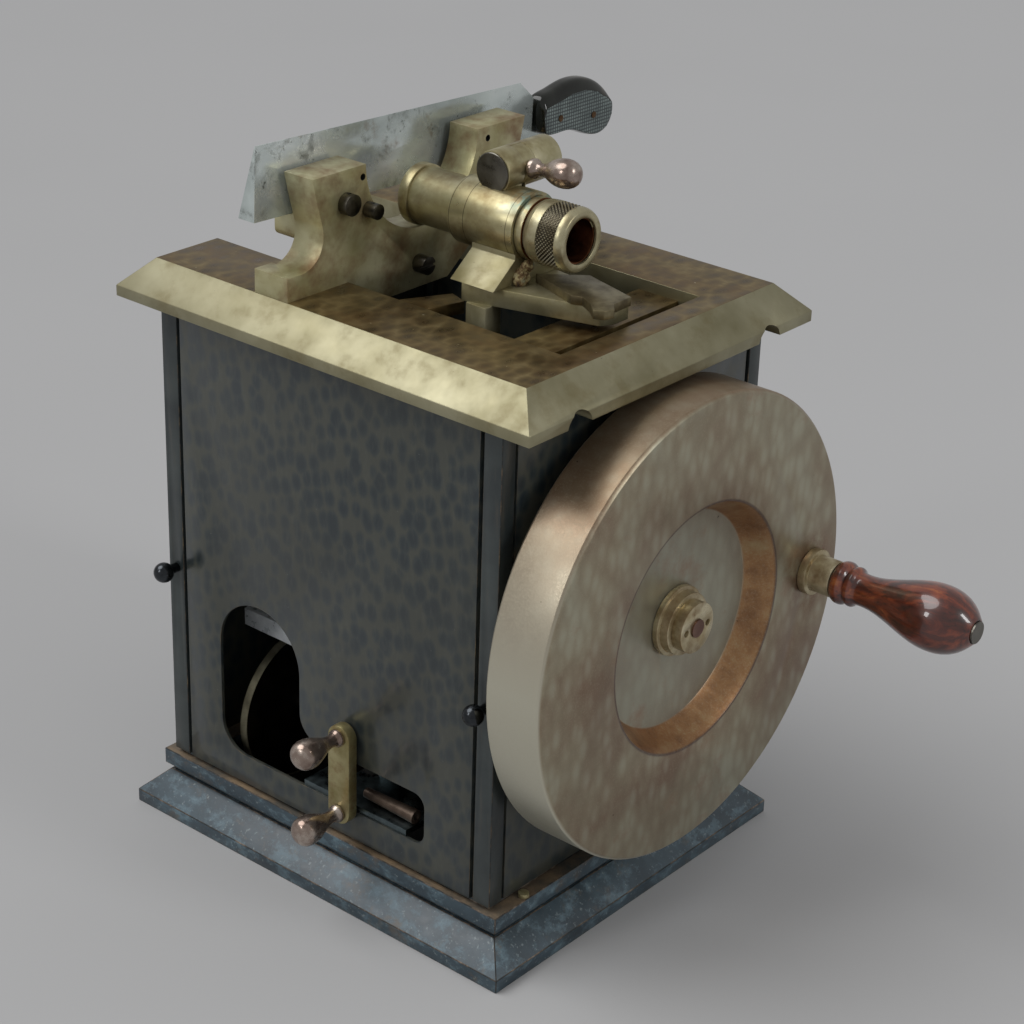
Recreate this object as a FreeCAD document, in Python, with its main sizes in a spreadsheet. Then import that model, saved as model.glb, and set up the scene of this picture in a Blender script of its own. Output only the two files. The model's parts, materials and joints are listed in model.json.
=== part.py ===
"""Box microtome: a brass-topped wooden cabinet with a fixed knife on a stand, a holder
that a side flywheel raises and lowers, and a winding crank in front. Millimetres, Z up."""

import FreeCAD, Part
import os
import Sketcher
from FreeCAD import Placement, Rotation, Vector

# Driving sizes. A fourth entry names the size that a value is measured from
SIZES = [
    # Fits
    ("fixed_gap", 0.02, "radial gap where a piece sits fast in another"),
    ("run_gap", 0.05, "radial gap where a piece turns or slides in another"),
    ("face_gap", 0.3, "gap between faces that move past each other"),
    # Base
    ("base_half_x", 14.7, "half length of the base", "cabinet_half_x"),
    ("base_half_y", 11.4, "half depth of the base", "cabinet_half_y"),
    ("rail_width", 22.0, "width of the mitred base rails"),
    ("rail_height", 17.5, "height of the base rails"),
    ("rail_chamfer", 11.2, "sloped edge of the base rails"),
    ("board_thick", 8.0, "thickness of the bottom board"),
    ("groove_half_x", 2.4, "half length of the undercut below the step", "cabinet_half_x"),
    ("groove_half_y", -0.9, "half depth of the undercut below the step", "cabinet_half_y"),
    ("groove_top", 3.25, "height where the undercut ends", "rail_height"),
    ("step_half_x", 5.4, "half length of the step moulding", "cabinet_half_x"),
    ("step_half_y", 2.1, "half depth of the step moulding", "cabinet_half_y"),
    ("step_top", 7.8, "top of the step moulding", "groove_top"),
    ("sill_inset", 2.0, "how far the cabinet sill stands back"),
    ("cabinet_bottom", 1.8, "underside of the cabinet", "step_top"),
    ("well_half_x", -13.3, "half length of the well through the step", "cabinet_half_x"),
    ("well_half_y", -13.0, "half depth of the well through the step", "cabinet_half_y"),
    ("base_screw_y", 67.0, "distance of the base screws from the middle"),
    ("base_screw_r", 2.4, "radius of the base screw heads"),
    ("base_screw_rise", 1.9, "height of the base screw heads"),
    # Cabinet
    ("cabinet_half_x", 97.3, "half length of the cabinet"),
    ("cabinet_half_y", 86.6, "half depth of the cabinet"),
    ("post_x", 9.5, "corner post, along X"),
    ("post_y", 8.2, "corner post, along Y"),
    ("panel_thick", 5.0, "thickness of the panels"),
    ("panel_lap", 2.6, "thickness of the tongue behind the panel grooves"),
    ("panel_groove", 1.8, "width of the grooves beside the panels"),
    ("panel_recess", 0.5, "how far the side panels stand back"),
    ("sheet_thick", 1.6, "thickness of the front panel round its opening"),
    ("sheet_border", 8.0, "width of the thin border round the front opening"),
    ("cut_left", 64.8, "left side of the front opening"),
    ("cut_right", 15.2, "right side of the tall part of the front opening"),
    ("cut_shoulder", 68.95, "height where the round top of the front opening begins", "cabinet_bottom"),
    ("cut_bottom", 14.65, "bottom of the front opening", "cabinet_bottom"),
    ("cut_corner", 15.0, "radius at the bottom left of the front opening"),
    ("slot_end", 59.5, "right end of the low part of the front opening"),
    ("slot_top", 24.5, "top of the low part of the front opening", "cut_bottom"),
    ("slot_corner", 6.0, "radius at the right of the low part"),
    ("cut_inner", 12.0, "radius of the inner corner of the front opening"),
    ("knob_x", -4.8, "distance of the ball knobs from the middle", "cabinet_half_x"),
    ("knob_z", 96.15, "height of the ball knobs", "cabinet_bottom"),
    ("knob_r", 4.65, "radius of the ball knobs"),
    ("knob_reach", 7.9, "distance of the ball centres from the cabinet"),
    ("knob_neck_r", 2.2, "radius of the necks of the ball knobs"),
    ("knob_stem_r", 1.8, "radius of the stems of the ball knobs"),
    ("knob_stem", 6.0, "length of the knob stems in the posts"),
    # Top plate
    ("plate_half_x", 19.6, "half length of the top plate", "cabinet_half_x"),
    ("plate_half_y", 7.9, "half depth of the top plate", "cabinet_half_y"),
    ("plate_bottom", 222.15, "underside of the top plate", "cabinet_bottom"),
    ("plate_top", 17.5, "top of the top plate", "plate_bottom"),
    ("plate_bevel", 12.6, "bevel of the top plate"),
    ("mouth_half_y", 46.0, "half width of the opening in the top plate"),
    ("mouth_end", -25.4, "closed end of the opening in the top plate", "plate_half_x"),
    ("notch_y", 17.5, "distance of the lip notches from the middle", "mouth_half_y"),
    ("notch_r", 7.6, "radius of the lip notches"),
    ("notch_drop", 1.5, "how far the notch centre lies below the plate"),
    ("notch_depth", 10.0, "depth of the lip notches"),
    ("ledge_top", -5.0, "top of the ledges in the opening", "plate_top"),
    ("ledge_thick", 5.5, "thickness of the ledges"),
    ("ledge_near", -32.1, "near side of the straight ledge", "mouth_end"),
    ("ledge_far", -10.7, "far side of the straight ledge", "mouth_end"),
    ("oblique_x1", -4.3, "slanted ledge, first corner along X"),
    ("oblique_y1", 35.8, "slanted ledge, first corner along Y"),
    ("oblique_x2", 6.7, "slanted ledge, second corner along X"),
    ("oblique_y2", 14.6, "slanted ledge, second corner along Y"),
    ("oblique_x3", 16.6, "slanted ledge, third corner along X"),
    ("oblique_y3", 18.2, "slanted ledge, third corner along Y"),
    ("oblique_x4", 12.0, "slanted ledge, fourth corner along X"),
    ("oblique_y4", 36.0, "slanted ledge, fourth corner along Y"),
    # Knife stand
    ("stand_front", 24.5, "front face of the stand behind the middle"),
    ("stand_thick", 16.5, "thickness of the stand"),
    ("foot_reach", 19.2, "length of the feet, front to back"),
    ("foot_half_y", -12.5, "outer end of the feet", "plate_half_y"),
    ("foot_inner_y", -10.0, "where the feet turn up into the posts", "foot_half_y"),
    ("foot_rise", 10.5, "height of the feet"),
    ("stand_top", 49.5, "top of the posts", "plate_top"),
    ("flank_y1", 66.0, "flank of the stand, first point out"),
    ("flank_z1", 12.5, "flank of the stand, first point up", "plate_top"),
    ("flank_y2", 61.5, "flank of the stand, second point out"),
    ("flank_z2", 18.0, "flank of the stand, second point up", "plate_top"),
    ("flank_y3", 60.5, "flank of the stand, third point out"),
    ("flank_z3", 25.0, "flank of the stand, third point up", "plate_top"),
    ("flank_y4", 62.5, "flank of the stand, fourth point out"),
    ("flank_z4", 32.0, "flank of the stand, fourth point up", "plate_top"),
    ("flank_y5", 65.0, "flank of the stand, fifth point out"),
    ("flank_z5", 41.0, "flank of the stand, fifth point up", "plate_top"),
    ("post_top_y", 67.0, "outer edge of the posts at the top"),
    ("saddle_r", 35.5, "radius of the saddle between the posts"),
    ("tongue_bottom", -13.5, "underside of the tongue in the opening", "plate_top"),
    ("tongue_gap", 0.1, "gap beside the tongue"),
    ("tongue_end", 17.0, "where the underside of the tongue turns up"),
    ("tongue_y1", 26.0, "rising end of the tongue, out"),
    ("tongue_z1", -6.6, "rising end of the tongue, up", "plate_top"),
    ("tongue_y2", 34.0, "end of the tongue at the plate"),
    ("rest_reach", 13.5, "length of the knife rests behind the stand"),
    ("rest_half_y", 59.5, "outer side of the knife rests"),
    ("rest_width", 8.0, "width of the knife rests"),
    ("rest_bottom", 17.0, "underside of the knife rests", "plate_top"),
    ("stand_screw_y", -2.2, "stand screw along Y"),
    ("stand_screw_z", -2.3, "stand screw height", "plate_top"),
    ("stand_screw_r", 4.2, "radius of the stand screw head"),
    ("stand_screw_head", 6.2, "length of the stand screw head"),
    ("screw_shank_r", 2.2, "radius of the screw shanks"),
    ("stand_screw_shank", 10.0, "length of the stand screw shank"),
    ("slot_width", 1.2, "width of the screw slots"),
    ("slot_depth", 1.4, "depth of the screw slots"),
    ("large_screw_y", -47.6, "large knife screw along Y"),
    ("large_screw_z", 35.2, "large knife screw height", "plate_top"),
    ("large_screw_r", 4.7, "radius of the large knife screw head"),
    ("large_screw_head", 4.5, "length of the large knife screw head"),
    ("small_screw_y", -34.2, "small knife screw along Y"),
    ("small_screw_z", 29.6, "small knife screw height", "plate_top"),
    ("small_screw_r", 3.4, "radius of the small knife screw head"),
    ("small_screw_head", 6.2, "length of the small knife screw head"),
    ("cross_hole_r", 1.0, "radius of the tommy-bar holes"),
    # Knife
    ("knife_gap", 3.0, "gap between the stand and the knife"),
    ("knife_back", 9.5, "thickness of the knife back"),
    ("knife_height", 32.6, "height of the knife"),
    ("knife_edge", 0.3, "thickness of the knife edge"),
    ("knife_left", 81.5, "left end of the knife"),
    ("knife_length", 177.0, "length of the knife blade"),
    ("knife_base_z", 29.7, "underside of the knife at its left end", "plate_top"),
    ("knife_tilt", 2.0, "tilt of the knife in degrees"),
    ("nose_y", 86.9, "where the knife end starts to slope"),
    ("nose_z", 56.0, "height where the knife end starts to slope", "plate_top"),
    ("nose_angle", 40.8, "slope of the knife end in degrees"),
    ("tang_length", 18.0, "length of the tang in the handle"),
    ("tang_thick", 4.0, "thickness of the tang"),
    ("tang_height", 10.0, "height of the tang"),
    ("tang_rise", 4.0, "height of the tang above the knife back"),
    ("handle_thick", 13.0, "thickness of the knife handle"),
    ("handle_front", -5.8, "front face of the knife handle", "knife_front"),
    ("handle_start", 97.2, "inner end of the knife handle"),
    ("handle_low", 29.0, "underside of the knife handle", "plate_top"),
    ("handle_high", 48.9, "top of the knife handle at its inner end", "plate_top"),
    ("crown_y1", 117.0, "knife handle crown, first point along"),
    ("crown_z1", 52.1, "knife handle crown, first point up", "plate_top"),
    ("crown_y2", 128.0, "knife handle crown, second point along"),
    ("crown_z2", 51.9, "knife handle crown, second point up", "plate_top"),
    ("crown_y3", 137.1, "knife handle crown, third point along"),
    ("crown_z3", 49.2, "knife handle crown, third point up", "plate_top"),
    ("crown_y4", 145.0, "knife handle crown, fourth point along"),
    ("crown_z4", 43.8, "knife handle crown, fourth point up", "plate_top"),
    ("butt_y1", 149.5, "butt of the knife handle, upper point along"),
    ("butt_z1", 37.0, "butt of the knife handle, upper point up", "plate_top"),
    ("butt_z2", 30.7, "butt of the knife handle, lower point up", "plate_top"),
    ("butt_y3", 146.4, "butt of the knife handle, lowest point along"),
    ("butt_z3", 24.0, "butt of the knife handle, lowest point up", "plate_top"),
    ("hook_y", 137.5, "hook of the knife handle along"),
    ("hook_z", 21.5, "hook of the knife handle up", "plate_top"),
    ("hook_y2", 127.5, "inner side of the hook along"),
    ("hook_z2", 24.6, "inner side of the hook up", "plate_top"),
    ("hook_y3", 118.4, "inner end of the hook along"),
    ("pin_r", 1.6, "radius of the handle pins"),
    ("pin_y1", 109.5, "first handle pin along"),
    ("pin_z1", 36.4, "first handle pin height", "plate_top"),
    ("pin_y2", 134.0, "second handle pin along"),
    ("pin_z2", 33.2, "second handle pin height", "plate_top"),
    ("pin_proud", 0.4, "how far the handle pins stand out"),
    # Holder head
    ("head_z", 28.5, "height of the holder axis", "plate_top"),
    ("tube_r", 12.6, "outer radius of the holder tube"),
    ("bore_r", 9.2, "bore of the holder tube"),
    ("ring_front", -27.0, "front of the tube ring"),
    ("ring_length", 5.0, "length of the tube ring"),
    ("ring_r", 13.5, "radius of the tube ring"),
    ("body_front", 3.0, "front of the clamp body"),
    ("body_length", 35.0, "length of the clamp body"),
    ("body_r", 15.0, "radius of the clamp body"),
    ("collar_length", 4.0, "length of the grooved collar"),
    ("collar_r", 13.5, "radius of the grooved collar"),
    ("thread_r", 11.0, "radius of the threaded end of the tube"),
    ("nut_length", 21.5, "length of the knurled nut"),
    ("nut_r", 14.3, "radius of the knurled nut"),
    ("nut_chamfer", 1.4, "chamfer of the knurled nut"),
    ("cross_x", 19.0, "axis of the cross clamp along X"),
    ("cross_z", 20.5, "height of the cross clamp axis", "head_z"),
    ("cross_r", 9.2, "radius of the cross clamp"),
    ("cross_front", -5.0, "front end of the cross clamp"),
    ("cross_length", 34.0, "length of the cross clamp"),
    ("bolt_r", 7.0, "radius of the cross bolt"),
    ("bolt_sink", 0.8, "how far the cross bolt stands back"),
    ("web_half", 7.5, "half length of the web below the cross clamp"),
    ("web_slot", 2.2, "width of the split in the web"),
    ("web_slot_y", 6.0, "split in the web along Y"),
    ("lever_y", 8.8, "clamp lever along Y"),
    ("lever_r", 2.3, "radius of the clamp lever"),
    ("lever_hub_r", 3.5, "radius of the clamp lever hub"),
    ("lever_hub", 14.0, "distance of the lever hub end from the bolt axis"),
    ("lever_length", 28.5, "distance of the lever ball from the bolt axis"),
    ("lever_ball_r", 6.3, "radius of the lever ball"),
    ("lever_angle", 5.4, "resting slope of the lever in degrees"),
    ("lever_slot", 7.4, "width of the lever slot in the clamp"),
    ("lever_slot_up", 9.4, "reach of the lever slot above the axis"),
    ("lever_slot_down", 3.9, "reach of the lever slot below the axis"),
    # Bracket
    ("arm_bottom", -1.7, "underside of the holder arm", "plate_top"),
    ("arm_top", 8.0, "top of the holder arm", "arm_bottom"),
    ("arm_x1", 20.9, "front corner of the arm along X"),
    ("arm_y1", 25.5, "front corner of the arm towards the front"),
    ("arm_x2", 81.0, "outer corner of the arm along X"),
    ("arm_y2", 8.0, "outer corner of the arm towards the front"),
    ("arm_x3", 84.0, "tip of the arm along X"),
    ("arm_y3", 2.0, "tip of the arm towards the front"),
    ("arm_y4", 7.0, "back corner of the tip"),
    ("arm_x5", 56.0, "back of the arm along X"),
    ("arm_y5", 13.0, "back of the arm"),
    ("block_front_x", 14.4, "front of the cradle block"),
    ("block_back_x", 38.3, "back of the cradle block"),
    ("block_half_y", 17.0, "back half width of the cradle block"),
    ("block_top", 20.5, "top of the cradle block", "plate_top"),
    ("facet_y", 12.0, "upper edge of the sloped facet"),
    ("facet_z", 17.0, "height of the upper edge of the facet", "plate_top"),
    ("leg_front_x", 23.5, "front of the leg"),
    ("leg_back_x", 34.4, "back of the leg"),
    ("leg_thick", 10.0, "thickness of the leg"),
    ("pointer_thick", 4.0, "thickness of the pointer plate"),
    ("pointer_ax", 42.6, "pointer plate corner A, X"),
    ("pointer_ay", -3.5, "pointer plate corner A, Y"),
    ("pointer_bx", 69.8, "pointer plate corner B, X"),
    ("pointer_by", -13.3, "pointer plate corner B, Y"),
    ("pointer_cx", 74.0, "pointer plate corner C, X"),
    ("pointer_cy", -11.3, "pointer plate corner C, Y"),
    ("pointer_dx", 81.6, "pointer plate corner D, X"),
    ("pointer_dy", -15.6, "pointer plate corner D, Y"),
    ("pointer_ex", 86.5, "pointer plate corner E, X"),
    ("pointer_ey", -20.1, "pointer plate corner E, Y"),
    ("pointer_fx", 90.8, "pointer plate corner F, X"),
    ("pointer_fy", -18.1, "pointer plate corner F, Y"),
    ("pointer_gx", 92.2, "pointer plate corner G, X"),
    ("pointer_gy", -13.2, "pointer plate corner G, Y"),
    ("pointer_hx", 88.5, "pointer plate corner H, X"),
    ("pointer_hy", -8.9, "pointer plate corner H, Y"),
    ("pointer_ix", 88.2, "pointer plate corner I, X"),
    ("pointer_iy", 2.9, "pointer plate corner I, Y"),
    ("pointer_jx", 59.8, "pointer plate corner J, X"),
    ("pointer_jy", 11.1, "pointer plate corner J, Y"),
    # Drive
    ("axle_r", 8.0, "radius of the main shaft"),
    ("wheel_r", 104.2, "radius of the flywheel"),
    ("wheel_back", 8.7, "back of the flywheel", "cabinet_half_x"),
    ("wheel_face", 28.7, "face of the flywheel", "wheel_back"),
    ("wheel_top_gap", 3.0, "gap between the flywheel and the top plate"),
    ("wheel_edge", 1.5, "chamfer of the flywheel rim"),
    ("dish_floor", -12.5, "floor of the dish in the flywheel", "wheel_face"),
    ("dish_r", 56.1, "radius of the dish at the face"),
    ("dish_floor_r", 49.0, "radius of the dish at the floor"),
    ("flange_r", 15.8, "radius of the hub flange"),
    ("flange_thick", 2.6, "thickness of the hub flange"),
    ("boss_r", 14.0, "radius of the hub boss"),
    ("boss_face", 6.8, "face of the hub boss", "dish_floor"),
    ("hub_nut_r", 11.4, "radius of the hub nut"),
    ("hub_nut_thick", 5.0, "thickness of the hub nut"),
    ("hub_pin_r", 1.5, "radius of the pin holes in the hub nut"),
    ("hub_pin_out", 7.4, "distance of the pin holes from the axis"),
    ("hub_pin_depth", 3.0, "depth of the pin holes"),
    ("pip_r", 4.0, "radius of the shaft end"),
    ("pip_proud", 0.7, "how far the shaft end stands out"),
    ("bearing_r", 12.0, "outer radius of the main bearing"),
    ("bearing_out", -1.4, "outer end of the main bearing", "wheel_back"),
    ("bearing_flange_r", 20.0, "radius of the bearing flange"),
    ("bearing_flange", 5.0, "thickness of the bearing flange"),
    ("disc_near", 14.5, "inner face of the crank disc", "slide_near"),
    ("disc_thick", 6.0, "thickness of the crank disc"),
    ("disc_r", 34.0, "radius of the crank disc"),
    ("throw", 25.0, "throw of the crank pin"),
    ("crank_pin_r", 5.0, "radius of the crank pin"),
    ("pin_stop", 0.5, "gap left between the crank pin and the slide"),
    ("handle_y", 83.3, "flywheel handle along Y"),
    ("handle_z", -2.8, "flywheel handle height", "axle_z"),
    ("ferrule_r", 10.6, "radius of the ferrule ring"),
    ("ferrule_ring", 4.0, "thickness of the ferrule ring"),
    ("ferrule_neck_r", 8.4, "radius of the ferrule neck"),
    ("ferrule_end", 14.7, "end of the ferrule", "wheel_face"),
    ("spindle_r", 3.5, "radius of the handle spindle"),
    ("spindle_sink", 12.0, "length of the spindle in the flywheel"),
    ("spindle_end", 19.8, "end of the handle spindle", "grip_bulb_x"),
    ("spindle_head_r", 5.0, "radius of the spindle head"),
    ("spindle_head", 1.6, "thickness of the spindle head"),
    ("grip_collar_r", 9.6, "radius of the wooden collar"),
    ("grip_collar", 5.2, "length of the wooden collar"),
    ("grip_bead_r", 8.8, "radius of the wooden bead"),
    ("grip_neck_x", 12.6, "start of the wooden neck", "ferrule_end"),
    ("grip_neck_r", 7.3, "radius of the wooden neck"),
    ("grip_cone_x", 28.0, "end of the wooden taper", "grip_neck_x"),
    ("grip_cone_r", 13.75, "radius at the end of the wooden taper"),
    ("grip_bulb_x", 36.8, "middle of the wooden bulb", "grip_neck_x"),
    ("grip_bulb_r", 15.15, "radius of the wooden bulb"),
    ("grip_bulb_half", 21.0, "half length of the wooden bulb"),
    # Slide
    ("rod_x", 4.5, "guide rods along X", "slide_near"),
    ("rod_y", -28.6, "distance of the guide rods from the middle", "cabinet_half_y"),
    ("rod_r", 5.0, "radius of the guide rods"),
    ("sleeve_r", 8.2, "radius of the slide sleeves"),
    ("slide_near", -47.8, "inner face of the slide", "cabinet_half_x"),
    ("slide_thick", 8.5, "thickness of the slide"),
    ("slide_half_y", 54.0, "half width of the slide"),
    ("slide_bottom", -45.3, "underside of the slide", "axle_z"),
    ("slide_top", 95.0, "top of the slide", "slide_bottom"),
    ("yoke_half", 31.0, "half length of the yoke slot"),
    ("yoke_gap", 0.4, "gap round the crank pin in the yoke"),
    ("apron_front", 10.0, "front side of the slide apron", "feed_out"),
    ("apron_back", -14.0, "back side of the slide apron", "feed_out"),
    ("bed_bottom", -18.0, "underside of the bed bar", "feed_z"),
    ("bed_top", -12.0, "top of the bed bar", "feed_z"),
    ("bed_front", 8.0, "front side of the bed bar", "feed_out"),
    ("bed_back", -8.0, "back side of the bed bar", "feed_out"),
    ("bed_end", 52.0, "far end of the bed bar"),
    ("end_block", 8.0, "thickness of the end bearing block"),
    ("end_block_top", 10.0, "top of the end bearing block", "feed_z"),
    ("tie_bottom", 41.5, "underside of the tie bar", "feed_z"),
    ("tie_height", 8.5, "height of the tie bar"),
    ("tie_front", 19.0, "front side of the tie bar", "feed_out"),
    ("tie_thick", 6.0, "thickness of the tie bar"),
    ("tie_end", 76.0, "far end of the tie bar"),
    # Feed
    ("feed_r", 4.5, "radius of the feed screw"),
    ("journal_r", 3.5, "radius of the feed screw journals"),
    ("gear_r", 37.5, "radius of the toothed wheel"),
    ("gear_gap", 2.1, "gap between the toothed wheel and the front panel"),
    ("gear_floor_gap", 6.5, "gap between the toothed wheel and the bottom board"),
    ("gear_thick", 4.0, "thickness of the toothed wheel"),
    ("gear_near", -57.0, "near face of the toothed wheel"),
    ("gear_tooth", 1.3, "depth of the wheel teeth"),
    ("gear_tooth_half", 0.9, "half width of a wheel tooth gap"),
    ("carriage_near", 19.0, "near side of the feed carriage"),
    ("carriage_length", 20.0, "length of the feed carriage"),
    ("carriage_top", 19.0, "top of the feed carriage", "reset_z"),
    ("nut_clear", 1.0, "gap round the feed screw with the split nut open"),
    ("rack_front", -11.6, "front side of the rack", "cabinet_half_y"),
    ("rack_back", -20.6, "back side of the rack", "cabinet_half_y"),
    ("rack_pitch_gap", 0.6, "height of the rack teeth about the pitch line"),
    ("rack_height", 7.0, "height of the rack"),
    ("rack_half", 22.0, "half length of the rack"),
    ("bridge_bottom", 11.5, "underside of the bridge to the rack", "reset_z"),
    # Winding crank
    ("reset_x", 15.0, "winding crank axis along X"),
    ("reset_z", 20.0, "winding crank axis height", "cut_bottom"),
    ("pinion_pitch_r", 8.0, "pitch radius of the pinion"),
    ("pinion_teeth", 16, "number of pinion teeth"),
    ("tooth_half", 0.5, "half width of a tooth at its root"),
    ("reset_shaft_r", 3.0, "radius of the winding shaft"),
    ("bracket_thick", 3.0, "thickness of the crank bracket"),
    ("bracket_left", -13.0, "left side of the crank bracket"),
    ("bracket_right", 48.6, "right side of the crank bracket"),
    ("bracket_front", -0.6, "front side of the crank bracket", "cabinet_half_y"),
    ("bracket_back", -33.6, "back side of the crank bracket", "cabinet_half_y"),
    ("lug_half", 6.0, "half width of the bearing lug"),
    ("lug_back", -32.6, "back of the bearing lug", "cabinet_half_y"),
    ("lug_thick", 7.0, "thickness of the bearing lug"),
    ("lug_top", 7.5, "top of the bearing lug", "reset_z"),
    ("bar_front", 6.6, "front face of the crank bar", "cabinet_half_y"),
    ("bar_thick", 5.2, "thickness of the crank bar"),
    ("bar_half_x", 6.3, "half width of the crank bar"),
    ("bar_top", 24.4, "top of the crank bar", "reset_z"),
    ("bar_bottom", -24.6, "bottom of the crank bar", "reset_z"),
    ("pear_up_z", 19.0, "height of the upper pear handle", "reset_z"),
    ("pear_down_z", -19.2, "height of the lower pear handle", "reset_z"),
    ("pear_r", 6.75, "radius of the pear handles"),
    ("pear_y", 25.4, "ball centre of the pear handles", "cabinet_half_y"),
    ("pear_neck_r", 2.8, "radius of the pear necks"),
    ("pear_collar_r", 4.0, "radius of the pear collars"),
    ("pear_collar", 2.0, "length of the pear collars"),
    ("taper_x", 18.5, "thin end of the tapered spindle"),
    ("taper_length", 29.9, "length of the tapered spindle"),
    ("taper_thin_r", 2.4, "thin end radius of the tapered spindle"),
    ("taper_thick_r", 3.3, "thick end radius of the tapered spindle"),
    ("taper_y", -7.6, "tapered spindle along Y", "cabinet_half_y"),
    ("taper_hole_r", 1.3, "radius of the hole in the tapered spindle"),
]

GEAR_TEETH = 90
RACK_TEETH = 12
PI = 3.14159265
QUARTER_TURN = 90.0
FULL_TURN = 360.0

doc = FreeCAD.newDocument("Microtome")
sheet = doc.addObject("Spreadsheet::Sheet", "Sizes")


class Size:
    """A size: its value now and the sheet formula that gives it."""

    def __init__(self, value, text):
        self.value = value
        self.text = text

    def _join(self, other, sign, swap=False):
        other = other if isinstance(other, Size) else Size(float(other), repr(other))
        first, second = (other, self) if swap else (self, other)
        results = {
            "+": lambda: first.value + second.value,
            "-": lambda: first.value - second.value,
            "*": lambda: first.value * second.value,
            "/": lambda: first.value / second.value,
        }
        return Size(results[sign](), f"({first.text} {sign} {second.text})")

    def __add__(self, other):
        return self._join(other, "+")

    def __radd__(self, other):
        return self._join(other, "+", True)

    def __sub__(self, other):
        return self._join(other, "-")

    def __rsub__(self, other):
        return self._join(other, "-", True)

    def __mul__(self, other):
        return self._join(other, "*")

    def __rmul__(self, other):
        return self._join(other, "*", True)

    def __truediv__(self, other):
        return self._join(other, "/")

    def __neg__(self):
        return Size(-self.value, f"(0 - {self.text})")


class Sizes:
    """The sizes by name. One with a start in the table is measured from that size."""

    def __init__(self, table):
        self.table = table

    def __getattr__(self, alias):
        number, start = self.table[alias]
        size = Size(float(number), "Sizes." + alias)
        return getattr(self, start) + size if start else size

    @property
    def feed_out(self):
        """Distance of the feed screw from the middle, towards the front."""
        return self.cabinet_half_y - self.panel_thick - self.gear_gap - self.gear_r

    @property
    def feed_y(self):
        return -self.feed_out

    @property
    def feed_z(self):
        return self.board_thick + self.gear_floor_gap + self.gear_r

    @property
    def axle_z(self):
        return self.plate_bottom - self.wheel_top_gap - self.wheel_r

    @property
    def knife_front(self):
        return self.stand_front + self.stand_thick + self.knife_gap

    @property
    def bracket_bottom(self):
        return self.cut_bottom


table = {}
for row, (alias, number, note, *start) in enumerate(SIZES, start=1):
    sheet.set(f"A{row}", note)
    sheet.set(f"B{row}", str(number))
    sheet.setAlias(f"B{row}", alias)
    table[alias] = (number, start[0] if start else None)
s = Sizes(table)
doc.recompute()

ZERO = Size(0.0, "0")
TURNS = {
    "X": Rotation(Vector(0, 1, 0), QUARTER_TURN),
    "Y": Rotation(Vector(1, 0, 0), -QUARTER_TURN),
    "Z": Rotation(),
}
NODES = []


def bind(obj, prop, size):
    """Ties a property to its sheet formula."""
    obj.setExpression(prop, size.text)


def put(obj, x, y, z, turn=None):
    """Places an object at a point given by sizes."""
    spot = Vector(x.value, y.value, z.value)
    obj.Placement = Placement(spot, turn or Rotation())
    for part, value in (("x", x), ("y", y), ("z", z)):
        bind(obj, "Placement.Base." + part, value)
    return obj


def node(obj, label):
    """Names a finished piece and keeps it for the export."""
    obj.Label = label
    NODES.append(obj)
    return obj


def box(name, x0, x1, y0, y1, z0, z1):
    """A block between two corners."""
    obj = doc.addObject("Part::Box", name)
    bind(obj, "Length", x1 - x0)
    bind(obj, "Width", y1 - y0)
    bind(obj, "Height", z1 - z0)
    return put(obj, x0, y0, z0)


def rod(name, axis, x, y, z, radius, length):
    """A cylinder that starts at a point and runs along an axis."""
    obj = doc.addObject("Part::Cylinder", name)
    bind(obj, "Radius", radius)
    bind(obj, "Height", length)
    return put(obj, x, y, z, TURNS[axis])


def cone(name, axis, x, y, z, radius, end_radius, length):
    """A cone that starts at a point and runs along an axis."""
    obj = doc.addObject("Part::Cone", name)
    bind(obj, "Radius1", radius)
    bind(obj, "Radius2", end_radius)
    bind(obj, "Height", length)
    return put(obj, x, y, z, TURNS[axis])


def ball(name, x, y, z, radius):
    """A sphere about a point."""
    obj = doc.addObject("Part::Sphere", name)
    bind(obj, "Radius", radius)
    return put(obj, x, y, z)


def fuse(name, pieces):
    """One solid of several."""
    obj = doc.addObject("Part::MultiFuse", name)
    obj.Shapes = pieces
    obj.Refine = True
    return obj


def cut(name, base, tools):
    """A solid with others taken away."""
    obj = doc.addObject("Part::Cut", name)
    obj.Base = base
    obj.Tool = tools[0] if len(tools) == 1 else fuse(name + "_tools", tools)
    obj.Refine = True
    return obj


def origin_plane(body, role):
    """One of a body's own planes."""
    return next(f for f in body.Origin.OriginFeatures if f.Role == role)


def outline(body, name, role, points):
    """A closed polygon sketch with every corner tied to the sheet."""
    sketch = body.newObject("Sketcher::SketchObject", name)
    sketch.AttachmentSupport = [(origin_plane(body, role), "")]
    sketch.MapMode = "FlatFace"
    corners = [Vector(u.value, v.value, 0) for u, v in points]
    count = len(corners)
    for i, corner in enumerate(corners):
        sketch.addGeometry(Part.LineSegment(corner, corners[(i + 1) % count]), False)
    for i in range(count):
        sketch.addConstraint(Sketcher.Constraint("Coincident", i, 2, (i + 1) % count, 1))
    for i, (u, v) in enumerate(points):
        for kind, size in (("DistanceX", u), ("DistanceY", v)):
            number = sketch.addConstraint(
                Sketcher.Constraint(kind, -1, 1, i, 1, size.value)
            )
            sketch.setExpression(f"Constraints[{number}]", size.text)
    return sketch


def slab(name, role, points, depth):
    """A polygon given thickness. XY plates grow up, YZ plates towards +X and XZ plates
    towards the front."""
    body = doc.addObject("PartDesign::Body", name)
    sketch = outline(body, name + "_outline", role, points)
    pad = body.newObject("PartDesign::Pad", name + "_pad")
    pad.Profile = sketch
    bind(pad, "Length", depth)
    return body


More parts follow.
